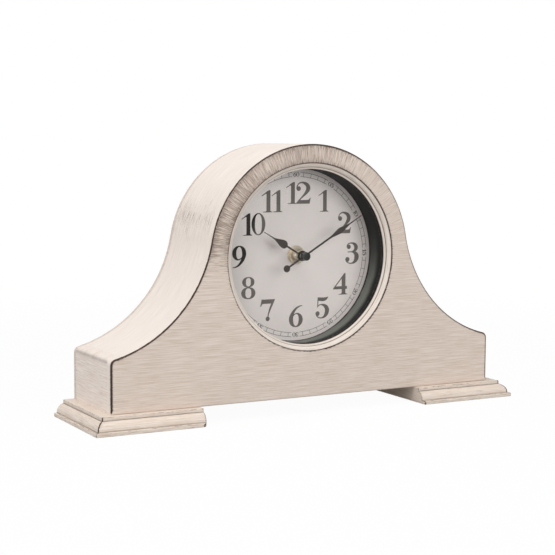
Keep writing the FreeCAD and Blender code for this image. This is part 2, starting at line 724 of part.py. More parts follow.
def hex_nut():
    """The brass nut that clamps washer, dial, pan and movement together."""
    back = DIAL_FACE_DEPTH - WASHER_THICK
    front = back - NUT_THICK
    corner = NUT_ACROSS_FLATS / 2 / math.cos(math.pi / NUT_SIDES)
    turn = 360 / NUT_SIDES
    corners = [Vector(x, front, z) for x, z in (polar(corner, turn * number) for number in range(NUT_SIDES))]
    hexagon = Part.Face(Part.makePolygon(corners + [corners[0]])).extrude(Vector(0, NUT_THICK, 0))
    crown = turned_profile([(0, front), (corner - NUT_CHAMFER, front), (corner, front + NUT_CHAMFER),
                            (corner, back), (0, back)])
    bore = rod(BUSHING_RADIUS + FIXED_GAP, front - CUT_OVERRUN, back + CUT_OVERRUN)
    return at_hand_axis(hexagon.common(crown).cut(bore))


def brass_washer():
    """The thin washer between the nut and the dial."""
    start = DIAL_FACE_DEPTH - WASHER_THICK
    return at_hand_axis(tube(WASHER_RADIUS, BUSHING_RADIUS + RUNNING_GAP, start, DIAL_FACE_DEPTH))


def rubber_washer():
    """The soft ring between the pan and the movement, which takes up the play."""
    start = PAN_FLOOR + SHEET_THICK
    return at_hand_axis(tube(RUBBER_RADIUS, BUSHING_RADIUS + RUNNING_GAP, start, MOVEMENT_FRONT))


# ---------------------------------------------------------------- wheels
def layer(number):
    """Depth of the front face of a wheel layer, counted backwards from the front wall."""
    return INNER_FRONT + LAYER_START + number * LAYER_PITCH


def module(distance, teeth_a, teeth_b):
    """Tooth module of two wheels that mesh at a distance."""
    return 2 * distance / (teeth_a + teeth_b)


def mating_phase(direction, phase, teeth, mate_teeth):
    """Direction of one tooth of the mate, so that its gaps face the teeth of the first wheel.

    direction points from the first wheel's centre to the mate's, and phase is the direction of one of its
    teeth. All are in degrees.
    """
    share = (direction - phase) * teeth / 360.0
    return direction + 180.0 + (share + 0.5) * 360.0 / mate_teeth


def toothed(teeth, tooth_module, depth, thick, phase, tip, root, widths):
    """A toothed disc about the depth axis. widths are a tooth's root and tip, as shares of the pitch."""
    pitch_radius = tooth_module * teeth / 2
    high = pitch_radius + tip * tooth_module
    low = pitch_radius - root * tooth_module
    pitch = 360.0 / teeth
    points = []
    for number in range(teeth):
        centre = phase + number * pitch
        for radius, share in ((low, -widths[0]), (high, -widths[1]), (high, widths[1]), (low, widths[0])):
            x, z = polar(radius, centre + share * pitch / 2)
            points.append(Vector(x, depth, z))
    return Part.Face(Part.makePolygon(points + [points[0]])).extrude(Vector(0, thick, 0))


def wheel(teeth, tooth_module, number, phase):
    """A large thin wheel in a layer."""
    form = (WHEEL_TIP, WHEEL_ROOT, WHEEL_TOOTH_WIDTHS)
    return toothed(teeth, tooth_module, layer(number), WHEEL_THICK, phase, *form)


def pinion(teeth, tooth_module, number, phase):
    """A small wheel with slim leaves, a little thicker than the wheel that it drives."""
    start = layer(number) - (PINION_THICK - WHEEL_THICK) / 2
    form = (PINION_TIP, PINION_ROOT, PINION_TOOTH_WIDTHS)
    return toothed(teeth, tooth_module, start, PINION_THICK, phase, *form)


def layer_back(number):
    """Depth of the back face of a wheel in a layer."""
    return layer(number) + WHEEL_THICK


MOTION_MODULE = module(MOTION_DISTANCE, CANNON_TEETH, MOTION_WHEEL_TEETH)
HOUR_MODULE = module(MOTION_DISTANCE, MOTION_PINION_TEETH, HOUR_WHEEL_TEETH)
THIRD_MODULE = module(THIRD_DISTANCE, SECOND_PINION_TEETH, THIRD_WHEEL_TEETH)
CENTRE_MODULE = module(THIRD_DISTANCE, THIRD_PINION_TEETH, CENTRE_WHEEL_TEETH)
SECOND_MODULE = module(INTERMEDIATE_DISTANCE, INTERMEDIATE_PINION_TEETH, SECOND_WHEEL_TEETH)
ROTOR_MODULE = module(ROTOR_DISTANCE, ROTOR_PINION_TEETH, INTERMEDIATE_WHEEL_TEETH)

MOTION_PLACE = polar(MOTION_DISTANCE, MOTION_DIRECTION)
KNOB_REACH = MOTION_DISTANCE + (MOTION_WHEEL_TEETH + KNOB_PINION_TEETH) * MOTION_MODULE / 2
KNOB_PLACE = polar(KNOB_REACH, MOTION_DIRECTION)
THIRD_PLACE = polar(THIRD_DISTANCE, THIRD_DIRECTION)
INTERMEDIATE_PLACE = polar(INTERMEDIATE_DISTANCE, INTERMEDIATE_DIRECTION)
ROTOR_STEP = polar(ROTOR_DISTANCE, ROTOR_DIRECTION)
ROTOR_PLACE = (INTERMEDIATE_PLACE[0] + ROTOR_STEP[0], INTERMEDIATE_PLACE[1] + ROTOR_STEP[1])

HOUR_LAYER = 0
MOTION_LAYER = 1
CENTRE_LAYER = 2
THIRD_LAYER = 3
SECOND_LAYER = 4
INTERMEDIATE_LAYER = 5

MOTION_PHASE = mating_phase(MOTION_DIRECTION, 0.0, CANNON_TEETH, MOTION_WHEEL_TEETH)
KNOB_PHASE = mating_phase(MOTION_DIRECTION, MOTION_PHASE, MOTION_WHEEL_TEETH, KNOB_PINION_TEETH)
HOUR_PHASE = mating_phase(MOTION_DIRECTION + 180, 0.0, MOTION_PINION_TEETH, HOUR_WHEEL_TEETH)
CENTRE_PHASE = mating_phase(THIRD_DIRECTION + 180, 0.0, THIRD_PINION_TEETH, CENTRE_WHEEL_TEETH)
THIRD_PHASE = mating_phase(THIRD_DIRECTION, 0.0, SECOND_PINION_TEETH, THIRD_WHEEL_TEETH)
SECOND_PHASE = mating_phase(INTERMEDIATE_DIRECTION + 180, 0.0, INTERMEDIATE_PINION_TEETH, SECOND_WHEEL_TEETH)
INTERMEDIATE_PHASE = mating_phase(ROTOR_DIRECTION + 180, 0.0, ROTOR_PINION_TEETH, INTERMEDIATE_WHEEL_TEETH)


def at_place(shape, place):
    """Moves a piece made about the depth axis to its place in the movement."""
    shape.translate(HAND_AXIS + Vector(place[0], 0, place[1]))
    return shape


def arbor(start, end):
    """A thin arbor with a finer pivot at each end. start and end are the tips of the pivots."""
    body = rod(ARBOR_RADIUS, start + PIVOT_LENGTH + END_SHAKE, end - PIVOT_LENGTH)
    return body.fuse(rod(PIVOT_RADIUS, start, end))


def hour_wheel():
    """The wheel that carries the hour hand on its pipe, through the threaded bushing."""
    disc = wheel(HOUR_WHEEL_TEETH, HOUR_MODULE, HOUR_LAYER, HOUR_PHASE)
    front = HOUR_HAND_DEPTH
    pipe = rod(PIPE_RADIUS, front, layer_back(HOUR_LAYER))
    bore = rod(PIPE_BORE, front - CUT_OVERRUN, layer_back(HOUR_LAYER) + CUT_OVERRUN)
    return at_hand_axis(joined([disc, pipe]).cut(bore))


def minute_arbor():
    """The arbor of the minute hand with the cannon pinion near its back end and a thinner tip in front."""
    back = layer_back(CENTRE_LAYER) + BOSS_GAP
    teeth = pinion(CANNON_TEETH, MOTION_MODULE, MOTION_LAYER, 0.0)
    body = rod(MINUTE_ARBOR_RADIUS, HAND_BACK, layer_back(HOUR_LAYER))
    neck = rod(MINUTE_NECK_RADIUS, layer_back(HOUR_LAYER), back)
    tip = rod(ARBOR_TIP_RADIUS, MINUTE_HAND_DEPTH - CAP_HEIGHT + 2 * CAP_ROUND, HAND_BACK)
    bore = rod(PIVOT_RADIUS + PIVOT_GAP, back - 2 * PIVOT_LENGTH, back + CUT_OVERRUN)
    return at_hand_axis(joined([teeth, body, neck, tip]).cut(bore))


def motion_wheel():
    """The wheel and pinion that slow the minute arbor down twelve times for the hour hand."""
    disc = wheel(MOTION_WHEEL_TEETH, MOTION_MODULE, MOTION_LAYER, MOTION_PHASE)
    leaves = pinion(MOTION_PINION_TEETH, HOUR_MODULE, HOUR_LAYER, 0.0)
    neck = rod(BOSS_RADIUS - BOSS_GAP, layer(HOUR_LAYER), layer(MOTION_LAYER))
    bore = rod(ARBOR_RADIUS + PIVOT_GAP, INNER_FRONT, layer(CENTRE_LAYER))
    return at_place(joined([disc, leaves, neck]).cut(bore), MOTION_PLACE)


def centre_wheel():
    """The wheel that drives the minute arbor through the friction of its hub."""
    disc = wheel(CENTRE_WHEEL_TEETH, CENTRE_MODULE, CENTRE_LAYER, CENTRE_PHASE)
    bore = rod(MINUTE_NECK_RADIUS + PIVOT_GAP, INNER_FRONT, INNER_BACK)
    return at_hand_axis(disc.cut(bore))


def third_wheel():
    """The wheel between the second wheel and the centre wheel."""
    disc = wheel(THIRD_WHEEL_TEETH, THIRD_MODULE, THIRD_LAYER, THIRD_PHASE)
    leaves = pinion(THIRD_PINION_TEETH, CENTRE_MODULE, CENTRE_LAYER, 0.0)
    staff = arbor(boss_top(CENTRE_LAYER) - PIVOT_LENGTH, INNER_BACK - END_SHAKE)
    return at_place(joined([disc, leaves, staff]), THIRD_PLACE)


def second_wheel():
    """The wheel that turns once a minute, behind the minute arbor and on the same axis."""
    disc = wheel(SECOND_WHEEL_TEETH, SECOND_MODULE, SECOND_LAYER, SECOND_PHASE)
    leaves = pinion(SECOND_PINION_TEETH, THIRD_MODULE, THIRD_LAYER, 0.0)
    start = layer_back(CENTRE_LAYER) + BOSS_GAP - PIVOT_LENGTH
    front_pivot = rod(PIVOT_RADIUS, start, layer(SECOND_LAYER))
    staff = rod(ARBOR_RADIUS, layer(THIRD_LAYER), INNER_BACK - PIVOT_LENGTH)
    back_pivot = rod(PIVOT_RADIUS, layer(SECOND_LAYER), INNER_BACK - END_SHAKE)
    return at_hand_axis(joined([disc, leaves, front_pivot, staff, back_pivot]))


def intermediate_wheel():
    """The first wheel after the rotor."""
    disc = wheel(INTERMEDIATE_WHEEL_TEETH, ROTOR_MODULE, INTERMEDIATE_LAYER, INTERMEDIATE_PHASE)
    leaves = pinion(INTERMEDIATE_PINION_TEETH, SECOND_MODULE, SECOND_LAYER, 0.0)
    staff = arbor(boss_top(CENTRE_LAYER) - PIVOT_LENGTH, INNER_BACK - END_SHAKE)
    return at_place(joined([disc, leaves, staff]), INTERMEDIATE_PLACE)


def rotor():
    """The stepping rotor: a round magnet and a pinion on one arbor."""
    magnet = rod(MAGNET_RADIUS, layer(MOTION_LAYER), layer(MOTION_LAYER) + MAGNET_THICK)
    leaves = pinion(ROTOR_PINION_TEETH, ROTOR_MODULE, INTERMEDIATE_LAYER, 0.0)
    staff = arbor(boss_top(MOTION_LAYER) - PIVOT_LENGTH, INNER_BACK - END_SHAKE)
    return at_place(joined([magnet, leaves, staff]), ROTOR_PLACE)


def setting_knob():
    """The grooved knob at the back, whose pinion turns the motion wheel to set the hands."""
    start = MOVEMENT_BACK + KNOB_GAP
    grip = rod(KNOB_RADIUS, start, start + KNOB_THICK)
    for number in range(KNOB_GROOVES):
        x, z = polar(KNOB_RADIUS, number * 360 / KNOB_GROOVES)
        grip = grip.cut(rod(KNOB_GROOVE_RADIUS, start - CUT_OVERRUN, start + KNOB_THICK + CUT_OVERRUN, x, z))
    leaves = pinion(KNOB_PINION_TEETH, MOTION_MODULE, MOTION_LAYER, KNOB_PHASE)
    shaft = rod(KNOB_SHAFT_RADIUS, layer_back(MOTION_LAYER), start)
    pivot = rod(ARBOR_RADIUS, boss_top(MOTION_LAYER) - PIVOT_LENGTH, layer_back(MOTION_LAYER))
    return at_place(joined([grip, leaves, shaft, pivot]), KNOB_PLACE)


# ---------------------------------------------------------------- movement shell
def boss_top(number):
    """Depth that a boss on the front wall reaches, just short of a wheel layer's pinion."""
    return layer(number) - (PINION_THICK - WHEEL_THICK) / 2 - END_SHAKE


def shell_box(start, end, inset=0.0):
    """The outline of the movement's shell between two depths, with rounded corners along the depth."""
    half = MOVEMENT_HALF_WIDTH - inset
    box = block((-half, half), (start, end), (MOVEMENT_BOTTOM + inset, MOVEMENT_TOP - inset))
    corners = [edge for edge in box.Edges if abs(edge.BoundBox.YLength - (end - start)) < SEAT_GAP]
    return box.makeFillet(SHELL_CORNER - inset / 2, corners)


def front_boss(place, number, pivot=PIVOT_RADIUS):
    """A boss on the front wall with a blind bore that a pivot turns in."""
    x, z = place
    top = boss_top(number)
    bore_floor = top - PIVOT_LENGTH - END_SHAKE
    post = rod(BOSS_RADIUS, INNER_FRONT - SHELL_WALL / 2, top, x, z)
    return post, rod(pivot + PIVOT_GAP, bore_floor, top + CUT_OVERRUN, x, z)


def stator_posts():
    """Posts on the front wall that the stator plate lies on."""
    left = coil_span()[0] - STATOR_ARM_WIDTH / 2
    low = ROTOR_PLACE[1] - STATOR_BLOCK_HALF + STATOR_ARM_WIDTH / 2
    places = [(left, low), (left, COIL_HEIGHT)]
    return [rod(BOSS_RADIUS, INNER_FRONT - SHELL_WALL / 2, stator_front(), x, z) for x, z in places]


def board_rails():
    """Two rails on the front wall that the circuit board lies on."""
    rails = []
    depth = (INNER_FRONT - SHELL_WALL / 2, INNER_FRONT + BOARD_RAIL_HEIGHT)
    for side in (-1, 1):
        limits = sorted((side * BOARD_HALF_WIDTH, side * (BOARD_HALF_WIDTH - BOARD_RAIL_WIDTH)))
        rails.append(block(limits, depth, (BOARD_BOTTOM, BOARD_TOP)))
    return rails


def movement_front():
    """The front half of the shell: a tray with a hole for the bushing, bosses, posts and rails."""
    tray = shell_box(MOVEMENT_FRONT, SPLIT_DEPTH)
    tray = tray.cut(shell_box(INNER_FRONT, SPLIT_DEPTH + CUT_OVERRUN, SHELL_WALL))
    bosses = [front_boss(THIRD_PLACE, CENTRE_LAYER), front_boss(INTERMEDIATE_PLACE, CENTRE_LAYER)]
    bosses += [front_boss(ROTOR_PLACE, MOTION_LAYER), front_boss(KNOB_PLACE, MOTION_LAYER, ARBOR_RADIUS)]
    motion_x, motion_z = MOTION_PLACE
    post_end = layer_back(MOTION_LAYER) + END_SHAKE
    post = rod(ARBOR_RADIUS, INNER_FRONT - SHELL_WALL / 2, post_end, motion_x, motion_z)
    shell = joined([tray, post] + [boss for boss, bore in bosses] + stator_posts() + board_rails())
    for boss, bore in bosses:
        shell = shell.cut(bore)
    collar_start = INNER_FRONT - BUSHING_COLLAR_THICK
    shell = shell.cut(rod(BUSHING_RADIUS + FIXED_GAP, MOVEMENT_FRONT - CUT_OVERRUN, INNER_FRONT))
    shell = shell.cut(rod(BUSHING_COLLAR_RADIUS + FIXED_GAP, collar_start, INNER_FRONT))
    return at_hand_axis(shell)


def back_boss(place, front):
    """A boss on the back wall, from a depth to the wall, with a blind bore for a pivot."""
    x, z = place
    post = rod(BOSS_RADIUS, front, INNER_BACK + SHELL_WALL / 2, x, z)
    return post, rod(PIVOT_RADIUS + PIVOT_GAP, front - CUT_OVERRUN, INNER_BACK, x, z)


def back_boss_front():
    """Depth of the front faces of the bosses on the back wall, behind the last layer of wheels."""
    return INNER_BACK - PIVOT_LENGTH / 2


def bay_space():
    """The space of the battery bay, open at the back."""
    half = MOVEMENT_HALF_WIDTH - SHELL_WALL
    return block((-half, half), (SPLIT_DEPTH - CUT_OVERRUN, MOVEMENT_BACK + CUT_OVERRUN),
                 (MOVEMENT_BOTTOM + SHELL_WALL, BAY_TOP - SHELL_WALL))


def movement_back():
    """The back half of the shell: the cover with the open battery bay, its upper wall and the bosses."""
    cover = shell_box(SPLIT_DEPTH, MOVEMENT_BACK)
    cover = cover.cut(shell_box(SPLIT_DEPTH - CUT_OVERRUN, INNER_BACK, SHELL_WALL))
    half = MOVEMENT_HALF_WIDTH - SHELL_WALL / 2
    shelf_depth = (SPLIT_DEPTH, MOVEMENT_BACK - SHELL_WALL / 2)
    shelf = block((-half, half), shelf_depth, (BAY_TOP - SHELL_WALL, BAY_TOP))
    front = back_boss_front()
    bosses = [back_boss(place, front) for place in ((0, 0), THIRD_PLACE, INTERMEDIATE_PLACE, ROTOR_PLACE)]
    shell = joined([cover, shelf] + [boss for boss, bore in bosses])
    for boss, bore in bosses:
        shell = shell.cut(bore)
    knob_hole = rod(KNOB_SHAFT_RADIUS + RUNNING_GAP, SPLIT_DEPTH, MOVEMENT_BACK + CUT_OVERRUN, *KNOB_PLACE)
    return at_hand_axis(shell.cut(bay_space()).cut(knob_hole))


def threaded_bushing():
    """The brass sleeve that the nut screws onto, with a collar inside the shell's front wall."""
    sleeve = rod(BUSHING_RADIUS, BUSHING_DEPTH, INNER_FRONT)
    collar = rod(BUSHING_COLLAR_RADIUS, INNER_FRONT - BUSHING_COLLAR_THICK, INNER_FRONT)
    bore = rod(BUSHING_BORE, BUSHING_DEPTH - CUT_OVERRUN, INNER_FRONT + CUT_OVERRUN)
    return at_hand_axis(joined([sleeve, collar]).cut(bore))


# ---------------------------------------------------------------- motor, circuit and battery
def stator_front():
    """Depth of the stator plate's front face, level with the middle of the rotor's magnet."""
    return layer(MOTION_LAYER) + (MAGNET_THICK - STATOR_THICK) / 2


def coil_span():
    """Left and right ends of the coil, whose left stator arm stands next to the shell's side."""
    left = STATOR_ARM_WIDTH + SHELL_WALL + BOSS_GAP - MOVEMENT_HALF_WIDTH
    return left, left + COIL_LENGTH


def stator():
    """The iron plate round the magnet, with two arms up to the ends of the coil's core."""
    x, z = ROTOR_PLACE
    left, right = coil_span()
    depth = (stator_front(), stator_front() + STATOR_THICK)
    half = STATOR_BLOCK_HALF
    wide = STATOR_ARM_WIDTH
    top = COIL_HEIGHT + CORE_WIDTH / 2
    shelf_top = COIL_HEIGHT - BOBBIN_FLANGE - BOSS_GAP
    shapes = [block((left - wide, x + half), depth, (z - half, z + half))]
    shapes += [block((left - wide, left), depth, (z, top))]
    shapes += [block((x + half - wide, x + half), depth, (z, shelf_top))]
    shapes += [block((x + half - wide, right + wide), depth, (shelf_top - wide, shelf_top))]
    shapes += [block((right, right + wide), depth, (shelf_top - wide, top))]
    hole = rod(MAGNET_RADIUS + MAGNET_STATOR_GAP, depth[0] - CUT_OVERRUN, depth[1] + CUT_OVERRUN, x, z)
    return at_hand_axis(joined(shapes).cut(hole))


def core_depths():
    """Front and back of the coil's core, which lies on the back of the stator's arms."""
    start = stator_front() + STATOR_THICK
    return start, start + STATOR_THICK


def coil_core():
    """The iron strip through the coil."""
    left, right = coil_span()
    half = CORE_WIDTH / 2
    limits = (left - STATOR_ARM_WIDTH, right + STATOR_ARM_WIDTH)
    return at_hand_axis(block(limits, core_depths(), (COIL_HEIGHT - half, COIL_HEIGHT + half)))


def coil_bobbin():
    """The plastic spool on the core, with a flange at each end."""
    left, right = coil_span()
    start, end = core_depths()
    middle = (start + end) / 2
    half = CORE_WIDTH / 2 + SEAT_GAP
    spool = side_rod(BOBBIN_RADIUS, left, right, middle, COIL_HEIGHT)
    thick = BOBBIN_FLANGE_THICK
    starts = (left, right - thick)
    flanges = [side_rod(BOBBIN_FLANGE, start_x, start_x + thick, middle, COIL_HEIGHT) for start_x in starts]
    slot = block((left - CUT_OVERRUN, right + CUT_OVERRUN), (start - SEAT_GAP, end + SEAT_GAP),
                 (COIL_HEIGHT - half, COIL_HEIGHT + half))
    bobbin = joined([spool] + flanges).cut(slot)
    room = [arm_room(edge) for edge in (left, right)]
    return at_hand_axis(bobbin.cut(room[0]).cut(room[1]))


def arm_room(edge):
    """The space next to one end of the coil that a stator arm passes through."""
    reach = STATOR_ARM_WIDTH
    start = stator_front() - SEAT_GAP
    left, right = coil_span()
    limits = (edge - reach, edge) if edge == left else (edge, edge + reach)
    return block(limits, (start, stator_front() + STATOR_THICK), (0, COIL_HEIGHT + CORE_WIDTH))


def coil_winding():
    """The copper winding, as one thick sleeve between the flanges."""
    left, right = coil_span()
    start, end = core_depths()
    middle = (start + end) / 2
    limits = (left + BOBBIN_FLANGE_THICK + FIXED_GAP, right - BOBBIN_FLANGE_THICK - FIXED_GAP)
    outer = side_rod(COIL_RADIUS, limits[0], limits[1], middle, COIL_HEIGHT)
    bore = (limits[0] - CUT_OVERRUN, limits[1] + CUT_OVERRUN)
    inner = side_rod(BOBBIN_RADIUS + FIXED_GAP, bore[0], bore[1], middle, COIL_HEIGHT)
    return at_hand_axis(outer.cut(inner))


def board_depths():
    """Front and back of the circuit board, which lies on its rails."""
    start = INNER_FRONT + BOARD_RAIL_HEIGHT
    return start, start + BOARD_THICK


def circuit_board():
    """The long narrow board between the wheels and the battery."""
    half = BOARD_HALF_WIDTH
    return at_hand_axis(block((-half, half), board_depths(), (BOARD_BOTTOM, BOARD_TOP)))


def board_chip():
    """The drop of black resin over the chip."""
    back = board_depths()[1]
    middle = (BOARD_BOTTOM + BOARD_TOP) / 2
    place = Vector(CHIP_X, back, middle)
    return at_hand_axis(Part.makeCone(CHIP_RADIUS, CHIP_RADIUS / 2, CHIP_HEIGHT, place, BACKWARDS))


def quartz_crystal():
    """The small metal can of the quartz crystal, lying on the board."""
    depth = board_depths()[1] + CRYSTAL_RADIUS + FIXED_GAP
    middle = (BOARD_BOTTOM + BOARD_TOP) / 2
    return at_hand_axis(side_rod(CRYSTAL_RADIUS, CRYSTAL_X, CRYSTAL_X + CRYSTAL_LENGTH, depth, middle))


def battery_axis():
    """Depth and height of the middle of the battery in its bay."""
    height = (MOVEMENT_BOTTOM + BAY_TOP) / 2
    return INNER_FRONT + BATTERY_WALL_GAP + BATTERY_RADIUS, height


def battery():
    """The AA cell with its small nub at the plus end."""
    depth, height = battery_axis()
    start = -(BATTERY_LENGTH + BATTERY_NUB_LENGTH) / 2
    end = start + BATTERY_LENGTH
    can = side_rod(BATTERY_RADIUS, start, end, depth, height)
    rims = [edge for edge in can.Edges if edge.BoundBox.XLength < SEAT_GAP]
    nub = side_rod(BATTERY_NUB_RADIUS, end - CUT_OVERRUN, end + BATTERY_NUB_LENGTH, depth, height)
    return at_hand_axis(joined([can.makeFillet(BATTERY_ROUND, rims), nub]))


def contact_strip(side):
    """A thin strip that stands at one end of the battery and runs up to the circuit board."""
    depth, height = battery_axis()
    end = side * (MOVEMENT_HALF_WIDTH - SHELL_WALL - SEAT_GAP)
    limits = sorted((end, end - side * CONTACT_THICK))
    upright = block(limits, (depth - CONTACT_HALF_WIDTH, depth + CONTACT_HALF_WIDTH),
                    (height - CONTACT_HALF_WIDTH, height + CONTACT_HALF_WIDTH))
    lead_depth = (INNER_FRONT + SEAT_GAP, SPLIT_DEPTH - SEAT_GAP)
    lead = block(limits, lead_depth, (height, BOARD_TOP))
    return joined([upright, lead])


def plus_contact():
    """The flat contact at the nub of the battery, with a dimple that meets it."""
    depth, height = battery_axis()
    inner = MOVEMENT_HALF_WIDTH - SHELL_WALL - SEAT_GAP - CONTACT_THICK
    nub_end = (BATTERY_LENGTH + BATTERY_NUB_LENGTH) / 2
    dimple = side_rod(CONTACT_SPRING_RADIUS, nub_end + SEAT_GAP, inner + CONTACT_THICK / 2, depth, height)
    return at_hand_axis(joined([contact_strip(1), dimple]))


def minus_contact():
    """The contact at the flat end of the battery, with a stub for its short cone spring."""
    depth, height = battery_axis()
    inner = -(MOVEMENT_HALF_WIDTH - SHELL_WALL - SEAT_GAP - CONTACT_THICK)
    flat_end = -(BATTERY_LENGTH + BATTERY_NUB_LENGTH) / 2
    spring = side_rod(CONTACT_SPRING_RADIUS, inner - CONTACT_THICK / 2, flat_end - SEAT_GAP, depth, height)
    return at_hand_axis(joined([contact_strip(-1), spring]))


# ---------------------------------------------------------------- all pieces
PIECES = {
    "front_panel": front_panel,
    "back_panel": back_panel,
    "top_band": top_band,
    "left_end_board": lambda: end_board(-1),
    "right_end_board": lambda: end_board(1),
    "bottom_board": bottom_board,
    "glue_blocks": glue_blocks,
    "left_foot": left_foot,
    "right_foot": right_foot,
    "foot_screws": foot_screws,
    "back_panel_screws": back_screws,
    "bezel_ring": bezel_ring,
    "dial_glass": dial_glass,
    "dial_pan": dial_pan,
    "dial_pan_screws": pan_screws,
    "dial_plate": dial_plate,
    "minute_hand": minute_hand,
    "hour_hand": hour_hand,
    "cap_nut": cap_nut,
    "hex_nut": hex_nut,
    "brass_washer": brass_washer,
    "rubber_washer": rubber_washer,
    "hour_wheel": hour_wheel,
    "minute_arbor": minute_arbor,
    "motion_wheel": motion_wheel,
    "centre_wheel": centre_wheel,
    "third_wheel": third_wheel,
    "second_wheel": second_wheel,
    "intermediate_wheel": intermediate_wheel,
    "rotor": rotor,
    "setting_knob": setting_knob,
    "movement_front": movement_front,
    "movement_back": movement_back,
    "threaded_bushing": threaded_bushing,
    "stator": stator,
    "coil_core": coil_core,
    "coil_bobbin": coil_bobbin,
    "coil_winding": coil_winding,
    "circuit_board": circuit_board,
    "board_chip": board_chip,
    "quartz_crystal": quartz_crystal,
    "battery": battery,
    "plus_contact": plus_contact,
    "minus_contact": minus_contact,
}


def main():
    """Makes every piece, moves it to the clock's origin and writes it to its own file."""
    os.makedirs("parts", exist_ok=True)
    for name, make in PIECES.items():
        shape = make()
        shape.translate(Vector(0, -ORIGIN_DEPTH, 0))
        shape.exportStep(f"parts/{name}.step")
        print(f"{name}: {len(shape.Solids)} solid(s), {shape.Volume:.1f} mm3, valid {shape.isValid()}")


main()
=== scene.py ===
"""Looks of a tambour mantel clock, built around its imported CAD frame.

The case is board painted cream, brushed while wet and rubbed with a brown glaze that stays on the edges and
in the steps of the mouldings. A glazed ring shows a silver grey printed dial in a gloss black pan, with two
black hands, and a quartz movement sits behind the round opening in the back.

Shapes are worked out in millimetres, with the depth counted from the front face of the case, and are turned
into metres in the row frame when a mesh is made.
"""
import logging
import math
from dataclasses import dataclass, field
from enum import Enum

import bmesh
import bpy
import numpy as np
from mathutils import Matrix, Vector


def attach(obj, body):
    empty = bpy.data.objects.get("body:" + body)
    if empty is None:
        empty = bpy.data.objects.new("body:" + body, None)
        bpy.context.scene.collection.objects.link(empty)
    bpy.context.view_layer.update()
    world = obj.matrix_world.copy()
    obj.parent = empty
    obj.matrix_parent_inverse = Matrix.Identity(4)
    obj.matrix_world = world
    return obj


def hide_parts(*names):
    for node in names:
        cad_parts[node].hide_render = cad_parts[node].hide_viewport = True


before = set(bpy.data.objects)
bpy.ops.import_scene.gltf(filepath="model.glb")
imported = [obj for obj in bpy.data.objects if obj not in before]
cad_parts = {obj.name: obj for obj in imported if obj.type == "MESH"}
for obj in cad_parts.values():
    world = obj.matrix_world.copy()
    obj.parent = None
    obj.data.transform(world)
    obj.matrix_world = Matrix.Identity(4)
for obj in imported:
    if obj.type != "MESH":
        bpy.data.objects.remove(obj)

LOG = logging.getLogger("clock")
MM = 0.001
FACE_DEPTH = 33.3  # how far the front face of the case lies in front of the origin, mm
DIAL_HEIGHT = 126.1  # height of the axis of the hands, mm
DIAL_DEPTH = 28.6  # depth of the dial's face behind the front face, mm
NO_EDGE = 60.0  # stands for an arris too far away to matter, mm
SHARP_ANGLE = math.radians(32)
WELD = 1e-6
FULL_TURN = 2 * math.pi

Material = bpy.types.Material
Socket = bpy.types.NodeSocket
Feed = bpy.types.NodeSocket | float | tuple
Array = np.ndarray


# ---------------------------------------------------------------- small geometry
def joined(*parts: Array | float) -> Array:
    """Brings arrays and numbers to one shape and joins them along a new last axis."""
    return np.stack(np.broadcast_arrays(*parts), -1)


def lifted(flat: Array, depth: Array | float) -> Array:
    """Lifts points of x and height to a depth, or to each depth of a column."""
    return joined(flat[:, 0], depth, flat[:, 1])


def round_run(centre: tuple, radius: float, start: float, end: float, count: int) -> Array:
    """Points on a circle: centre plus radius times (cos, sin), from one angle to another in degrees."""
    angle = np.radians(np.linspace(start, end, count))
    return joined(centre[0] + radius * np.cos(angle), centre[1] + radius * np.sin(angle))


def bent(start: tuple | Array, *stops: tuple | Array) -> Array:
    """Points of a line of straight and curved runs.

    Args:
        start: where it begins: a place, or the points of a curve.
        stops: (x, y, count) for a straight run of count points to that place, or the points of a curve that
            begins where the line has come to.

    Returns:
        (n, 2) points, each joint held once.
    """
    line = np.array(start, float).reshape(-1, 2)
    for stop in stops:
        piece = stop if isinstance(stop, np.ndarray) else np.linspace(line[-1], stop[:2], stop[2])
        line = np.concatenate([line, piece[1:]])
    return line


def whole(half: Array) -> Array:
    """A line that ends in the middle, and its mirror image after it."""
    return bent(half, half[::-1] * (-1.0, 1.0))


def bulged(start: tuple, end: tuple, bulge: float, count: int) -> Array:
    """Points of an arc over a chord; with half the chord h, its radius is (h² + bulge²) / (2 bulge).

    Args:
        start: where the arc begins.
        end: where it ends.
        bulge: how far its middle stands off the chord, to the left of its way.
        count: how many points it has.

    Returns:
        (count, 2) points.
    """
    chord = np.subtract(end, start)
    half = np.linalg.norm(chord) / 2
    along = chord / (2 * half)
    outwards = np.array([-along[1], along[0]])
    radius = (half ** 2 + bulge ** 2) / (2 * bulge)
    spread = math.asin(half / radius)
    turn = np.linspace(-spread, spread, count)[:, None]
    middle = np.add(start, end) / 2 + outwards * (bulge - radius)
    return middle + radius * (np.sin(turn) * along + np.cos(turn) * outwards)


def path_lengths(path: Array) -> Array:
    """Distance along a path at each of its points, from 0."""
    return np.concatenate([[0.0], np.cumsum(np.linalg.norm(np.diff(path, axis=0), axis=1))])


def around(radius: Array | float, depth: Array | float, angle: Array) -> Array:
    """Points round the axis of the hands: (r cos t, depth, height of the axis + r sin t)."""
    return joined(radius * np.cos(angle), depth, DIAL_HEIGHT + radius * np.sin(angle))


def turned(profile: Array, steps: int) -> Array:
    """Turns a profile of radius and depth once round the axis of the hands, in so many facets."""
    return around(profile[:, :1], profile[:, 1:], np.linspace(0.0, FULL_TURN, steps + 1))


def smooth_step(value: Array, low: float, high: float) -> Array:
    """0 below low, 1 above high and a soft S between them."""
    share = np.clip((value - low) / (high - low), 0.0, 1.0)
    return share * share * (3 - 2 * share)


def bell(value: Array, middle: float, width: float) -> Array:
    """A soft bump: e to the power of minus the square of the distance from the middle over the width."""
    return np.exp(-((value - middle) / width) ** 2)


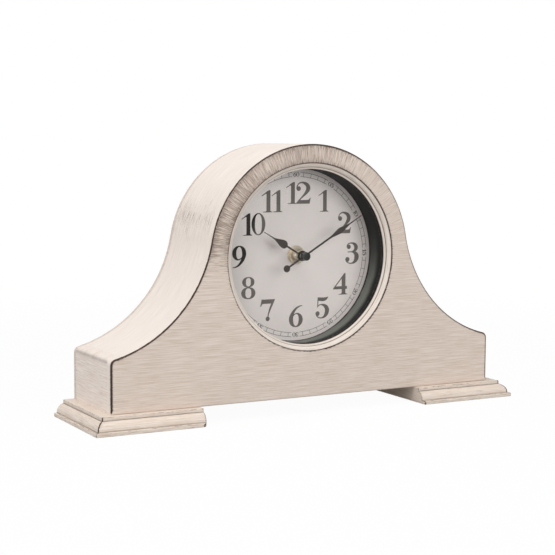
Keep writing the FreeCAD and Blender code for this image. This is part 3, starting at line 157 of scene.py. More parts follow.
def spotted(start: Array | float, value: Array, spots: tuple) -> Array:
    """A start with soft bumps added to it, each given by its height, middle and width."""
    return sum((height * bell(value, middle, width) for height, middle, width in spots), start)


class Patchwork:
    """Collects the surfaces of one piece and welds them into one closed mesh.

    Each corner of a face carries two things that the finishes read. The UV map "flow" holds the place along
    and across the brush, in metres. The attribute "marks" holds the distance from the nearest arris in mm,
    how deep in a crease the corner lies (0 to 1), and how worn the paint is there (0 to 1).
    """

    def __init__(self) -> None:
        """Starts an empty piece."""
        self._points: list[Array] = []
        self._faces: list[list[int]] = []
        self._flow: list[Array] = []
        self._marks: list[Array] = []
        self._finish: list[int] = []
        self._count = 0

    def _add(self, points: Array, faces: Array, flow: Array, marks: Array | tuple,
             finish: int = 0) -> "Patchwork":
        """Adds faces with what each of their corners carries.

        Args:
            points: (..., 3) points, mm.
            faces: numbers of the corners of each face.
            flow: (..., 2) brush coordinates of the points, mm.
            marks: marks of the points, or one set for all.
            finish: which of the piece's finishes the faces take.

        Returns:
            The patchwork itself, so that calls can follow each other.
        """
        corners = faces.ravel()
        self._flow.append(np.reshape(flow, (-1, 2))[corners] * MM)
        self._marks.append(np.broadcast_to(marks, points.shape).reshape(-1, 3)[corners])
        self._points.append(points.reshape(-1, 3))
        self._faces += (faces + self._count).tolist()
        self._finish += [finish] * len(faces)
        self._count += points.size // 3
        return self

    def sheet(self, grid: Array, flow: Array | None = None, marks: Array | tuple = (NO_EDGE, 0.0, 0.0),
              finish: int = 0) -> "Patchwork":
        """Adds a surface given as a grid of points, with a face between each four neighbours.

        Args:
            grid: (rows, columns, 3) points, mm.
            flow: (rows, columns, 2) brush coordinates, mm; x and height where left out.
            marks: marks that fit the grid's shape; no arris, no crease and no wear where left out.
            finish: which of the piece's finishes the faces take.

        Returns:
            The patchwork itself.
        """
        index = np.arange(grid.size // 3).reshape(grid.shape[:2])
        faces = joined(index[:-1, :-1], index[:-1, 1:], index[1:, 1:], index[1:, :-1]).reshape(-1, 4)
        return self._add(grid, faces, grid[..., [0, 2]] if flow is None else flow, marks, finish)

    def cap(self, loop: Array, wear: float = 0.0) -> "Patchwork":
        """Adds one flat face whose outline is the loop of points, without a repeated first point."""
        return self._add(loop, np.arange(len(loop))[None], loop[:, :2], (NO_EDGE, 0.0, wear))

    def mesh(self, name: str) -> bpy.types.Mesh:
        """Welds the surfaces, turns all faces outwards and marks the sharp edges.

        Args:
            name: the mesh's name.

        Returns:
            The closed mesh, in metres in the row frame.
        """
        mesh = bpy.data.meshes.new(name)
        points = (np.concatenate(self._points) - (0.0, FACE_DEPTH, 0.0)) * MM
        mesh.from_pydata(points.tolist(), [], self._faces)
        mesh.uv_layers.new(name="flow").data.foreach_set("uv", np.concatenate(self._flow).ravel())
        marks = mesh.attributes.new("marks", "FLOAT_VECTOR", "CORNER")
        marks.data.foreach_set("vector", np.concatenate(self._marks).ravel())
        mesh.polygons.foreach_set("material_index", self._finish)
        made = bmesh.new()
        made.from_mesh(mesh)
        bmesh.ops.remove_doubles(made, verts=made.verts, dist=WELD)
        bmesh.ops.dissolve_degenerate(made, edges=made.edges, dist=WELD)
        bmesh.ops.recalc_face_normals(made, faces=made.faces)
        made.to_mesh(mesh)
        made.free()
        mesh.shade_smooth()
        mesh.set_sharp_from_angle(angle=SHARP_ANGLE)
        return mesh


class Body(Enum):
    """The moving groups of the frame that new pieces ride on."""

    CASE = "case"
    MINUTE = "minute_work"
    HOUR = "hour_work"
    BATTERY = "battery"


@dataclass(frozen=True)
class Place:
    """Where a finished piece belongs: its slot, the CAD nodes it stands for and the body it rides on."""

    slot: str
    nodes: tuple[str, ...] = ()
    body: Body = Body.CASE


def add_object(name: str, data: bpy.types.ID) -> bpy.types.Object:
    """Makes an object of a mesh, lamp or camera and links it into the scene.

    Args:
        name: the object's name.
        data: what it shows.

    Returns:
        The object, at the origin.
    """
    made = bpy.data.objects.new(name, data)
    bpy.context.scene.collection.objects.link(made)
    return made


def set_up(name: str, work: Patchwork, place: Place, *finishes: Material) -> None:
    """Makes a piece of a patchwork, dresses it and ties it to the frame.

    Args:
        name: the piece's name.
        work: its surfaces.
        place: where it belongs.
        finishes: its materials, in the order of the patchwork's finish numbers.
    """
    mesh = work.mesh(name)
    piece = add_object(name, mesh)
    for finish in finishes:
        mesh.materials.append(finish)
    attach(piece, place.body.value)
    if place.nodes:
        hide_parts(*place.nodes)
    LOG.info("%s: %d faces, rides on %s", name, len(mesh.polygons), place.body.value)


# ---------------------------------------------------------------- materials
def linear(colour: str) -> tuple[float, float, float, float]:
    """Turns an sRGB hex value such as "#D3C6BB" into linear red, green, blue and alpha."""
    values = [int(colour[number:number + 2], 16) / 255 for number in (1, 3, 5)]
    return tuple(v / 12.92 if v <= 0.04045 else ((v + 0.055) / 1.055) ** 2.4 for v in values) + (1.0,)


WHITE = linear("#FFFFFF")
CLEAR = linear("#FEFFFE")


def add_node(tree: bpy.types.NodeTree, kind: str, inputs: dict | None = None,
             **settings: object) -> bpy.types.Node:
    """Adds a node with its settings and its inputs.

    Args:
        tree: the material's node tree.
        kind: the node's type.
        inputs: socket name or number to a value, or to another node's output that feeds it.
        settings: the node's own properties.

    Returns:
        The node.
    """
    made = tree.nodes.new(kind)
    for name, value in settings.items():
        setattr(made, name, value)
    for key, value in (inputs or {}).items():
        if isinstance(value, bpy.types.NodeSocket):
            tree.links.new(value, made.inputs[key])
        else:
            made.inputs[key].default_value = value
    return made


def sight(tree: bpy.types.NodeTree) -> Socket:
    """Tells the rays that carry an image from those that only carry light.

    Args:
        tree: the node tree that asks.

    Returns:
        1 for rays from the camera, off a gloss or through glass, and 0 for the rest.
    """
    path = add_node(tree, "ShaderNodeLightPath")
    seen = path.outputs["Is Camera Ray"]
    for name in ("Is Glossy Ray", "Is Transmission Ray"):
        either = {0: seen, 1: path.outputs[name]}
        seen = add_node(tree, "ShaderNodeMath", either, operation="MAXIMUM").outputs[0]
    return seen


class Weave:
    """A material's node tree with the few steps that all the finishes are woven from."""

    def __init__(self, name: str) -> None:
        """Starts a material of that name with an empty tree."""
        self.material = bpy.data.materials.new(name)
        self.material.use_nodes = True
        self.tree = self.material.node_tree
        self.tree.nodes.clear()

    def add(self, kind: str, inputs: dict | None = None, **settings: object) -> bpy.types.Node:
        """Adds a node to this tree."""
        return add_node(self.tree, kind, inputs, **settings)

    def maths(self, operation: str, first: Feed, second: Feed = 0.0, third: Feed = 0.0) -> Socket:
        """The result of an operation on one, two or three numbers."""
        return self.add("ShaderNodeMath", {0: first, 1: second, 2: third}, operation=operation).outputs[0]

    def times(self, first: Feed, second: Feed) -> Socket:
        """One number times another."""
        return self.maths("MULTIPLY", first, second)

    def total(self, start: Feed, *terms: tuple[Socket, float]) -> Socket:
        """Adds to a start each term times its factor.

        Args:
            start: number or output to begin with.
            terms: pairs of an output and its factor.

        Returns:
            The sum.
        """
        for term, factor in terms:
            start = self.maths("MULTIPLY_ADD", term, factor, start)
        return start

    def swing(self, noise: Socket) -> Socket:
        """A noise counted from its middle."""
        return self.maths("SUBTRACT", noise, 0.5)

    def ramp(self, value: Feed, low: Feed, high: Feed, out_low: float = 0.0, out_high: float = 1.0) -> Socket:
        """The value carried softly from the range low to high over to the range out_low to out_high."""
        sockets = {"Value": value, "From Min": low, "From Max": high, "To Min": out_low, "To Max": out_high}
        return self.add("ShaderNodeMapRange", sockets, interpolation_type="SMOOTHSTEP").outputs["Result"]

    def blend(self, share: Feed, first: Feed, second: Feed) -> Socket:
        """Two colours mixed by a share."""
        return self.add("ShaderNodeMix", {0: share, 6: first, 7: second}, data_type="RGBA").outputs[2]

    def mix(self, share: Feed, first: bpy.types.Node, second: bpy.types.Node) -> Socket:
        """Two shaders mixed by a share."""
        shaders = {0: share, 1: first.outputs[0], 2: second.outputs[0]}
        return self.add("ShaderNodeMixShader", shaders).outputs[0]

    def noise(self, where: Socket, across_mm: float | tuple, detail: float = 2.0,
              rough: float = 0.55) -> Socket:
        """Noise whose grains have real sizes.

        Args:
            where: the place it is read at, in metres.
            across_mm: size of a grain, or its three sizes, mm.
            detail: how many finer layers it has.
            rough: how strong those are.

        Returns:
            The noise, about 0.5 on average.
        """
        scale = tuple(1 / (size * MM) for size in np.broadcast_to(across_mm, 3))
        placed = self.add("ShaderNodeMapping", {"Vector": where, "Scale": scale}, vector_type="POINT")
        sockets = {"Vector": placed.outputs[0], "Scale": 1.0, "Detail": detail, "Roughness": rough}
        return self.add("ShaderNodeTexNoise", sockets, noise_dimensions="3D").outputs["Fac"]

    def place(self) -> Socket:
        """The place in the row frame, in metres."""
        return self.add("ShaderNodeTexCoord").outputs["Object"]

    def flow(self) -> Socket:
        """The place along and across the brush, in metres."""
        return self.add("ShaderNodeUVMap", uv_map="flow").outputs["UV"]

    def marks(self) -> Socket:
        """Distance from an arris in mm, depth in a crease and wear."""
        return self.add("ShaderNodeAttribute", attribute_name="marks").outputs["Vector"]

    def parts(self, vector: Socket) -> list[Socket]:
        """The three numbers of a vector."""
        return list(self.add("ShaderNodeSeparateXYZ", {0: vector}).outputs)

    def finish(self, shader: Socket) -> Material:
        """Ends the tree with a shader and gives back the material."""
        self.add("ShaderNodeOutputMaterial", {"Surface": shader})
        return self.material

    def surface(self, colour: Feed, rough: Feed, relief: tuple, **sockets: Feed) -> Material:
        """Ends the tree with a plain surface shader.

        Args:
            colour: colour or the output that gives it.
            rough: roughness or the output that gives it.
            relief: an output between 0 and 1, the real depth in mm that it stands for, and its strength.
            sockets: other sockets, with _ for a space.

        Returns:
            The finished material.
        """
        height, depth_mm, strength = relief
        bump = self.add("ShaderNodeBump", {"Height": height, "Strength": strength, "Distance": depth_mm * MM})
        inputs = {"Base Color": colour, "Roughness": rough, "Normal": bump.outputs[0]}
        inputs.update({name.replace("_", " "): value for name, value in sockets.items()})
        return self.finish(self.add("ShaderNodeBsdfPrincipled", inputs).outputs[0])


@dataclass(frozen=True)
class BrushedPaint:
    """Cream emulsion on fibreboard, brushed out while wet, with brown glaze rubbed over it.

    The eye gets fine strokes along the brush, brown streaks among them, and dark arrises and steps where
    the rub left the glaze. Bristle marks are about 0.3 mm apart, which is finer than the camera can
    show, so the strokes are drawn about twice as coarse.
    """

    name: str
    paint: str
    shade: str
    streak: str = "#6F5A4A"
    glaze: str = "#38261B"
    roughness: float = 0.52
    relief_mm: float = 0.09

    # sizes of the grains along and across the brush, mm, detail and roughness of two noises, and the span of
    # the noise from paint to shade
    stroke_mm: tuple = (26.0, 0.6, 26.0)
    fine_mm: tuple = (13.0, 0.42, 13.0)
    bleeding_mm: tuple = (12.0, 0.55, 12.0)
    ragged_mm: tuple = (4.0, 0.8, 4.0)
    cloud_mm: tuple | float = (34.0, 26.0, 34.0)
    stroke_detail: tuple = (4.0, 0.62)
    fine_detail: tuple = (3.0, 0.6)
    stroke_span: tuple = (0.36, 0.64)

    # where the fine noise starts to hold a streak, and what wear, thick clouds and a worn arris add to that
    streak_start: float = 0.66
    streak_soft: float = 0.10
    start_by_wear: float = -0.19
    start_by_cloud: float = -0.25
    start_by_arris: float = -0.07
    arris_span_mm: tuple = (9.0, 0.5)
    streak_share: float = 0.42
    share_by_wear: float = 0.2

    # the arris: width of its brown line, the share of that at full strength, how far it wavers, and how glaze
    # bleeds inwards along strokes
    line_mm: float = 1.35
    line_full: float = 0.45
    waver_mm: float = 2.0
    bleed_mm: float = 6.0
    bleed_start: float = 0.51
    bleed_fall: float = 0.30
    bleed_by_wear: float = -0.10
    bleed_soft: float = 0.14
    bleed_share: float = 0.72
    crease_wear: tuple = (0.3, 0.62, 0.72, 1.0)

    # the coat: how much rougher and smoother its strokes are, over which span of their noise, the shares of
    # both noises in its relief, and its optics
    rougher: float = 0.06
    smoother: float = 0.04
    rough_span: tuple = (0.3, 0.7)
    stroke_lift: float = 0.6
    fine_lift: float = 0.4
    bump: float = 0.6
    ior: float = 1.48
    specular: float = 0.25

    def make(self) -> Material:
        """Weaves the paint, its streaks and the glaze into one material.

        Returns:
            The material.
        """
        made = Weave(self.name)
        flow = made.flow()
        edge, crease, wear = made.parts(made.marks())
        stroke = made.noise(flow, self.stroke_mm, *self.stroke_detail)
        fine = made.noise(flow, self.fine_mm, *self.fine_detail)
        cloud = made.swing(made.noise(made.place(), self.cloud_mm))
        ragged = made.noise(flow, self.ragged_mm)
        # strokes: paint and its darker shade in turn along the brush
        colour = made.blend(made.ramp(stroke, *self.stroke_span), linear(self.paint), linear(self.shade))
        # streaks: glaze left among the strokes, more of it in high wear, near an arris and in thick clouds
        near = made.times(wear, made.ramp(edge, *self.arris_span_mm))
        start = made.total(self.streak_start, (wear, self.start_by_wear), (cloud, self.start_by_cloud),
                           (near, self.start_by_arris))
        held = made.ramp(fine, start, made.maths("ADD", start, self.streak_soft))
        share = made.times(held, made.total(self.streak_share, (wear, self.share_by_wear)))
        colour = made.blend(share, colour, linear(self.streak))
        # glaze: a ragged line on the arris that bleeds inwards along the strokes, and a fill in each crease;
        # on the end boards' shoulders, under the feet's top bands and at their floor edges these also paint
        # shade
        pulled = made.total(edge, (made.swing(ragged), self.waver_mm))
        line = made.ramp(pulled, self.line_mm, self.line_mm * self.line_full)
        fall = self.bleed_fall / self.bleed_mm
        start = made.total(self.bleed_start, (edge, fall), (wear, self.bleed_by_wear))
        bleeding = made.noise(flow, self.bleeding_mm, *self.fine_detail)
        bleed = made.ramp(bleeding, start, made.maths("ADD", start, self.bleed_soft), 0.0, self.bleed_share)
        worn = made.times(crease, made.ramp(ragged, *self.crease_wear))
        glaze = made.maths("MAXIMUM", made.maths("MAXIMUM", line, bleed), worn)
        colour = made.blend(glaze, colour, linear(self.glaze))
        # darker strokes are a little smoother, and both noises lift the coat
        most, least = self.roughness + self.rougher, self.roughness - self.smoother
        rough = made.ramp(stroke, *self.rough_span, most, least)
        height = made.total(0.0, (stroke, self.stroke_lift), (fine, self.fine_lift))
        relief = (height, self.relief_mm, self.bump)
        return made.surface(colour, rough, relief, IOR=self.ior, Specular_IOR_Level=self.specular)


@dataclass(frozen=True)
class PanEnamel:
    """Black enamel in the dial pan, with painted shade and painted light on its wall.

    The eye gets a dark line where wall and dial meet, painted shade in that corner, a dull grey green band
    above it, a painted reflection of the dial and painted light from above, palest at the bottom and gone at
    the top, and black up to the lip.
    """

    name: str = "black_enamel_on_pressed_steel"
    black: str = "#0B0B0A"
    painted_light_grey: str = "#7B7D77"
    dial_face: float = -0.0047
    cloud_mm: float = 9.0
    waver_mm: float = 3.0
    # the painted shade line by the dial and the painted light band above it, as spans of height over the dial
    # in mm, and the band's share by height on the wall in metres
    line_mm: tuple = (0.64, 2.56)
    painted_light_band_mm: tuple = (15.6, 8.4)
    painted_light_by_height: tuple = (0.150, 0.085, 0.04, 1.0)

    def make(self) -> Material:
        """Colours the wall by its depth in front of the dial and by its height.

        Returns:
            The material.
        """
        made = Weave(self.name)
        place = made.place()
        _, depth, up = made.parts(place)
        cloud = made.noise(place, self.cloud_mm, 3.0)
        height = made.maths("SUBTRACT", self.dial_face, depth)
        height = made.total(height, (made.swing(cloud), self.waver_mm * MM))
        # painted shade by the dial, and a painted band of reflection and light, strongest low on the wall
        spans = (self.line_mm, self.painted_light_band_mm)
        above, below = (made.ramp(height, start * MM, end * MM) for start, end in spans)
        share = made.times(made.ramp(up, *self.painted_light_by_height), made.times(above, below))
        colour = made.blend(share, linear(self.black), linear(self.painted_light_grey))
        return made.surface(colour, 0.55, (cloud, 0.004, 0.5), IOR=1.5, Specular_IOR_Level=0.2)


@dataclass(frozen=True)
class PlainFinish:
    """A finish of one main colour with grain, soft clouds and a little relief, for plastics, metals and card.

    grain_mm and cloud_mm are real sizes, and depth_mm is the height of the grain.
    """

    name: str
    colour: str
    dark: str
    roughness: float = 0.5
    depth_mm: float = 0.004
    grain_mm: tuple | float = 0.6
    cloud_mm: tuple | float = 14.0
    grain_tint: float = 0.35
    cloud_tint: float = 0.35
    rough_swing: float = 0.08
    metallic: float = 0.0
    ior: float = 1.5
    coat: float = 0.0

    # a painted sheen, where it has one, stands for the reflection of the light from the front: its colour,
    # the places across where it begins and is full, and its lean
    painted_sheen: str = ""
    painted_sheen_span: tuple = (-0.048, -0.040)
    painted_sheen_lean: float = 0.0

    def make(self) -> Material:
        """Weaves the finish into one material.

        Returns:
            The material.
        """
        made = Weave(self.name)
        place = made.place()
        grain = made.noise(place, self.grain_mm)
        cloud = made.noise(place, self.cloud_mm, 3.0)
        tint = made.maths("ADD", made.ramp(grain, 0.35, 0.7, 0.0, self.grain_tint),
                          made.ramp(cloud, 0.35, 0.7, 0.0, self.cloud_tint))
        colour = made.blend(tint, linear(self.colour), linear(self.dark))
        # painted reflection: past a slanting line across the dial the colour turns to the painted sheen
        if self.painted_sheen:
            across, _, up = made.parts(place)
            above = made.maths("SUBTRACT", up, DIAL_HEIGHT * MM)
            painted_reflection_share = made.ramp(made.total(across, (above, self.painted_sheen_lean)), *self.painted_sheen_span)
            colour = made.blend(painted_reflection_share, colour, linear(self.painted_sheen))
        low, high = self.roughness - self.rough_swing, self.roughness + self.rough_swing
        rough = made.ramp(made.total(0.0, (cloud, 0.5), (grain, 0.5)), 0.35, 0.65, low, high)
        optics = {} if self.metallic else {"IOR": self.ior}
        return made.surface(colour, rough, (grain, self.depth_mm, 0.7), Metallic=self.metallic,
                            Coat_Weight=self.coat, **optics)


@dataclass(frozen=True)
class BackBoardPaint:
    """The back panel: its rim carries the cream paint of the case, and its back is brushed matt black.

    The eye gets a thin cream edge round a dull black board with faint level brush lines.
    """

    name: str = "back_board_black_inside_cream_rim"
    cream: str = "#D9CCC1"
    stained: str = "#9C8876"
    black: str = "#1F1D1C"
    worn: str = "#2E2A27"
    line_mm: tuple = (26.0, 3.0, 0.7)
    cloud_mm: tuple = (40.0, 40.0, 30.0)
    line_detail: tuple = (3.0, 0.6)
    worn_span: tuple = (0.4, 0.68)
    stained_span: tuple = (0.42, 0.7, 0.0, 0.5)
    rough_span: tuple = (0.3, 0.7, 0.55, 0.75)
    relief_mm: float = 0.08
    ior: float = 1.48
    back_face: float = 0.0462
    opening_reach: float = 0.060

    def make(self) -> Material:
        """Splits black and cream by the depth and by the distance from the opening.

        Returns:
            The material.
        """
        made = Weave(self.name)
        place = made.place()
        across, depth, up = made.parts(place)
        lines = made.noise(place, self.line_mm, *self.line_detail)
        clouds = made.noise(place, self.cloud_mm)
        level = made.add("ShaderNodeCombineXYZ", {0: across, 2: up}).outputs[0]
        ends = {0: level, 1: (0.0, 0.0, DIAL_HEIGHT * MM)}
        radius = made.add("ShaderNodeVectorMath", ends, operation="DISTANCE").outputs["Value"]
        behind = made.maths("GREATER_THAN", depth, self.back_face)
        inside = made.maths("LESS_THAN", radius, self.opening_reach)
        dark = made.blend(made.ramp(lines, *self.worn_span), linear(self.black), linear(self.worn))
        pale = made.blend(made.ramp(lines, *self.stained_span), linear(self.cream), linear(self.stained))
        colour = made.blend(made.maths("MAXIMUM", behind, inside), pale, dark)
        rough = made.ramp(clouds, *self.rough_span)
        return made.surface(colour, rough, (lines, self.relief_mm, 0.5), IOR=self.ior)


@dataclass(frozen=True)
class FloatGlass:
    """Clear flat glass: lamps pass straight through it, and the eye sees its two mirror faces."""

    name: str = "float_glass_polished"
    ior: float = 1.5

    def make(self) -> Material:
        """Glass for sight, and an open window for shadow and diffuse rays.

        Returns:
            The material.
        """
        made = Weave(self.name)
        sockets = {"Base Color": CLEAR, "Roughness": 0.0, "IOR": self.ior, "Transmission Weight": 1.0}
        glass = made.add("ShaderNodeBsdfPrincipled", sockets)
        window = made.add("ShaderNodeBsdfTransparent", {"Color": CLEAR})
        path = made.add("ShaderNodeLightPath").outputs
        through = made.maths("MAXIMUM", path["Is Shadow Ray"], path["Is Diffuse Ray"])
        return made.finish(made.mix(through, glass, window))


@dataclass(frozen=True)
class Studio:
    """The photographer's table: a white floor, a white surround, soft lamps, a dark flag and the camera."""

    camera_place: tuple = (-0.56187, -1.0159, 0.22092)
    camera_towards: tuple = (0.47238, 0.87596, -0.0977)
    camera_roll: float = 0.2575
    lens_mm: float = 91.957
    sensor_mm: float = 36.0
    ambient: float = 0.35

    # the floor, metres and tones: what light it sends back, what it shows the eye, and where it turns white
    floor_half: float = 4.0
    floor_tone: float = 0.45
    floor_seen_tone: float = 0.80
    floor_share: float = 0.96
    floor_fade: tuple = (0.35, 1.0)

    # left, right, depth, low and high edge of the flag, metres, and how bright its cloth is
    flag_place: tuple = (0.0, 0.20, -0.20, 0.001, 0.215)
    flag_tone: float = 0.08

    # each lamp's name, place in metres, width in metres and power in watts, and what they all point at
    lamps: tuple = (
        ("softbox_above", (-0.45, -0.35, 1.65), 1.4, 16.0),
        ("softbox_in_front", (0.55, -2.25, 0.65), 2.2, 29.5),
        ("reflector_on_the_left", (-1.6, -0.3, 0.5), 1.0, 7.2),
    )
    target: tuple = (0.0, 0.0, 0.1)

    def set_camera(self) -> None:
        """Puts the camera at the photo's place, with its roll."""
        forward = Vector(self.camera_towards).normalized()
        level = forward.cross(Vector((0, 0, 1))).normalized()
        upright = level.cross(forward)
        roll = math.radians(self.camera_roll)
        right = level * math.cos(roll) + upright * math.sin(roll)
        up = upright * math.cos(roll) - level * math.sin(roll)
        data = bpy.data.cameras.new("camera")
        data.lens, data.sensor_width, data.clip_start = self.lens_mm, self.sensor_mm, 0.01
        camera = add_object("camera", data)
        turn = Matrix((right, up, -forward)).transposed().to_4x4()
        camera.matrix_world = Matrix.Translation(self.camera_place) @ turn
        bpy.context.scene.camera = camera

    def set_surround(self) -> None:
        """A white surround for the eye, gloss and glass, and a softer one that lights the clock."""
        world = bpy.data.worlds.new("surround")
        bpy.context.scene.world = world
        world.use_nodes = True
        tree = world.node_tree
        tree.nodes.clear()
        light, white = [add_node(tree, "ShaderNodeBackground", {0: WHITE, 1: strength}).outputs[0]
                        for strength in (self.ambient, 1.0)]
        mixed = add_node(tree, "ShaderNodeMixShader", {0: sight(tree), 1: light, 2: white})
        add_node(tree, "ShaderNodeOutputWorld", {0: mixed.outputs[0]})

    def set_lamps(self) -> None:
        """Broad soft lamps, each turned towards the clock."""
        for name, place, width, power in self.lamps:
            data = bpy.data.lights.new(name, "AREA")
            data.shape, data.size, data.energy = "DISK", width, power
            aim = (Vector(self.target) - Vector(place)).to_track_quat("-Z", "Y")
            add_object(name, data).matrix_world = Matrix.Translation(place) @ aim.to_matrix().to_4x4()

    def flat(self, name: str, corners: list[tuple], finish: Material) -> bpy.types.Object:
        """Makes one flat face.

        Args:
            name: its name.
            corners: its four corners, metres.
            finish: its material.

        Returns:
            Its object.
        """
        mesh = bpy.data.meshes.new(name)
        mesh.from_pydata(corners, [], [(0, 1, 2, 3)])
        mesh.materials.append(finish)
        return add_object(name, mesh)

    def set_floor(self) -> None:
        """A white floor that keeps a faint shadow near the clock and turns fully white farther off."""
        made = Weave("matt_white_sweep")
        seen = sight(made.tree)
        tone = made.total(self.floor_tone, (seen, self.floor_seen_tone - self.floor_tone))
        paper = made.add("ShaderNodeBsdfDiffuse", {"Color": tone})
        glow = made.add("ShaderNodeEmission", {"Color": WHITE, "Strength": 1.0})
        away = made.add("ShaderNodeVectorMath", {0: made.place()}, operation="LENGTH").outputs["Value"]
        share = made.times(seen, made.ramp(away, *self.floor_fade, self.floor_share, 1.0))
        reach = self.floor_half
        corners = [(-reach, -reach, 0), (reach, -reach, 0), (reach, reach, 0), (-reach, reach, 0)]
        floor = self.flat("floor", corners, made.finish(made.mix(share, paper, glow)))

    def set_flag(self) -> None:
        """A dark flag in front on the right, seen in gloss and through glass only.

        It keeps the white room off glass and dial.
        """
        made = Weave("black_flag_cloth")
        cloth = made.add("ShaderNodeEmission", {"Color": WHITE, "Strength": self.flag_tone})
        left, right, depth, low, high = self.flag_place
        corners = [(left, depth, low), (right, depth, low), (right, depth, high), (left, depth, high)]
        flag = self.flat("flag", corners, made.finish(cloth.outputs[0]))
        for kind in ("camera", "diffuse", "volume_scatter", "shadow"):
            setattr(flag, f"visible_{kind}", False)

    def build(self) -> None:
        """Sets camera, surround, lamps, floor and flag."""
        bpy.context.scene.view_settings.view_transform = "Standard"
        self.set_camera()
        self.set_surround()
        self.set_lamps()
        self.set_floor()
        self.set_flag()
        LOG.info("studio set up")


# ---------------------------------------------------------------- case
@dataclass(frozen=True)
class Outline:
    """The tambour outline: an arch, a hollow sweep on each side, rounded shoulders and straight sides."""

    arch_radius: float = 90.56
    arch_height: float = DIAL_HEIGHT
    half_width: float = 173.4
    sweep_radius: float = 109.0
    shoulder_height: float = 54.4
    shoulder_round: float = 5.0
    bottom: float = 13.2
    least_round: float = 0.3

    # points along the bottom, the side, the shoulder, the sweep and the arch of half the outline
    counts: tuple = (60, 24, 9, 64, 60)

    def sweep_centre(self) -> tuple[float, float]:
        """Finds the right sweep: its circle touches the arch and passes through the shoulder corner.

        Returns:
            Its centre, x and height.
        """
        down = self.shoulder_height - self.arch_height
        span = math.hypot(self.half_width, down)
        reach = self.arch_radius + self.sweep_radius
        along = (reach ** 2 - self.sweep_radius ** 2 + span ** 2) / (2 * span)
        aside = math.sqrt(reach ** 2 - along ** 2)
        x = (along * self.half_width - aside * down) / span
        return x, self.arch_height + (along * down + aside * self.half_width) / span

    def crest_height(self, x: float, inset: float) -> float:
        """Height of the sweep at a place across, moved inwards by inset."""
        centre_x, centre_z = self.sweep_centre()
        return centre_z - math.sqrt((self.sweep_radius + inset) ** 2 - (centre_x - x) ** 2)

    def crest(self, inset: float, end_x: float, counts: tuple[int, int]) -> Array:
        """Right half of the crest: the sweep from end_x inwards and the arch up to its top.

        Args:
            inset: how far the crest is moved inwards.
            end_x: where the sweep starts.
            counts: points of the sweep and of the arch.

        Returns:
            (n, 2) points of x and height.
        """
        centre_x, centre_z = self.sweep_centre()
        meet = math.degrees(math.atan2(centre_z - self.arch_height, centre_x))
        start = math.degrees(math.atan2(self.crest_height(end_x, inset) - centre_z, end_x - centre_x)) % 360
        sweep = round_run((centre_x, centre_z), self.sweep_radius + inset, start, 180 + meet, counts[0])
        return bent(sweep, round_run((0.0, self.arch_height), self.arch_radius - inset, meet, 90, counts[1]))

    def half(self, inset: float) -> Array:
        """Right half of the whole outline, from the middle of the bottom to the top of the arch.

        Each inset gives the same number of points, so that the loops of several insets make a surface.

        Args:
            inset: how far the outline is moved inwards.

        Returns:
            (n, 2) points of x and height.
        """
        centre_x, centre_z = self.sweep_centre()
        side, low = self.half_width - inset, self.bottom + inset
        rounding = max(self.shoulder_round - inset, self.least_round)
        round_x = side - rounding
        reach = self.sweep_radius + inset + rounding
        round_z = centre_z - math.sqrt(reach ** 2 - (centre_x - round_x) ** 2)
        turn = math.atan2(centre_z - round_z, centre_x - round_x)
        shoulder = round_run((round_x, round_z), rounding, 0.0, math.degrees(turn), self.counts[2])
        crest = self.crest(inset, round_x + rounding * math.cos(turn), self.counts[3:])
        return bent((0.0, low), (side, low, self.counts[0]), (side, round_z, self.counts[1]), shoulder, crest)

    def loop(self, inset: float) -> Array:
        """The whole outline once round, ending where it starts, at the middle of the bottom."""
        return whole(self.half(inset))

    def along(self) -> Array:
        """Distance along the outline at each point of its loop, counted from the top of the arch."""
        lengths = path_lengths(self.loop(0.0))
        return lengths - lengths[-1] / 2

    def depth_inside(self, x: Array, z: Array) -> Array:
        """Distance of points from the outline: the least of those from arch or sweep, and side.

        Args:
            x: places across.
            z: heights.

        Returns:
            The distances of points inside.
        """
        centre_x, centre_z = self.sweep_centre()
        across = np.abs(x)
        arch = self.arch_radius - np.hypot(across, z - self.arch_height)
        sweep = np.hypot(across - centre_x, z - centre_z) - self.sweep_radius
        above = centre_x * (z - self.arch_height) > across * (centre_z - self.arch_height)
        return np.minimum(np.where(above, arch, sweep), self.half_width - across)


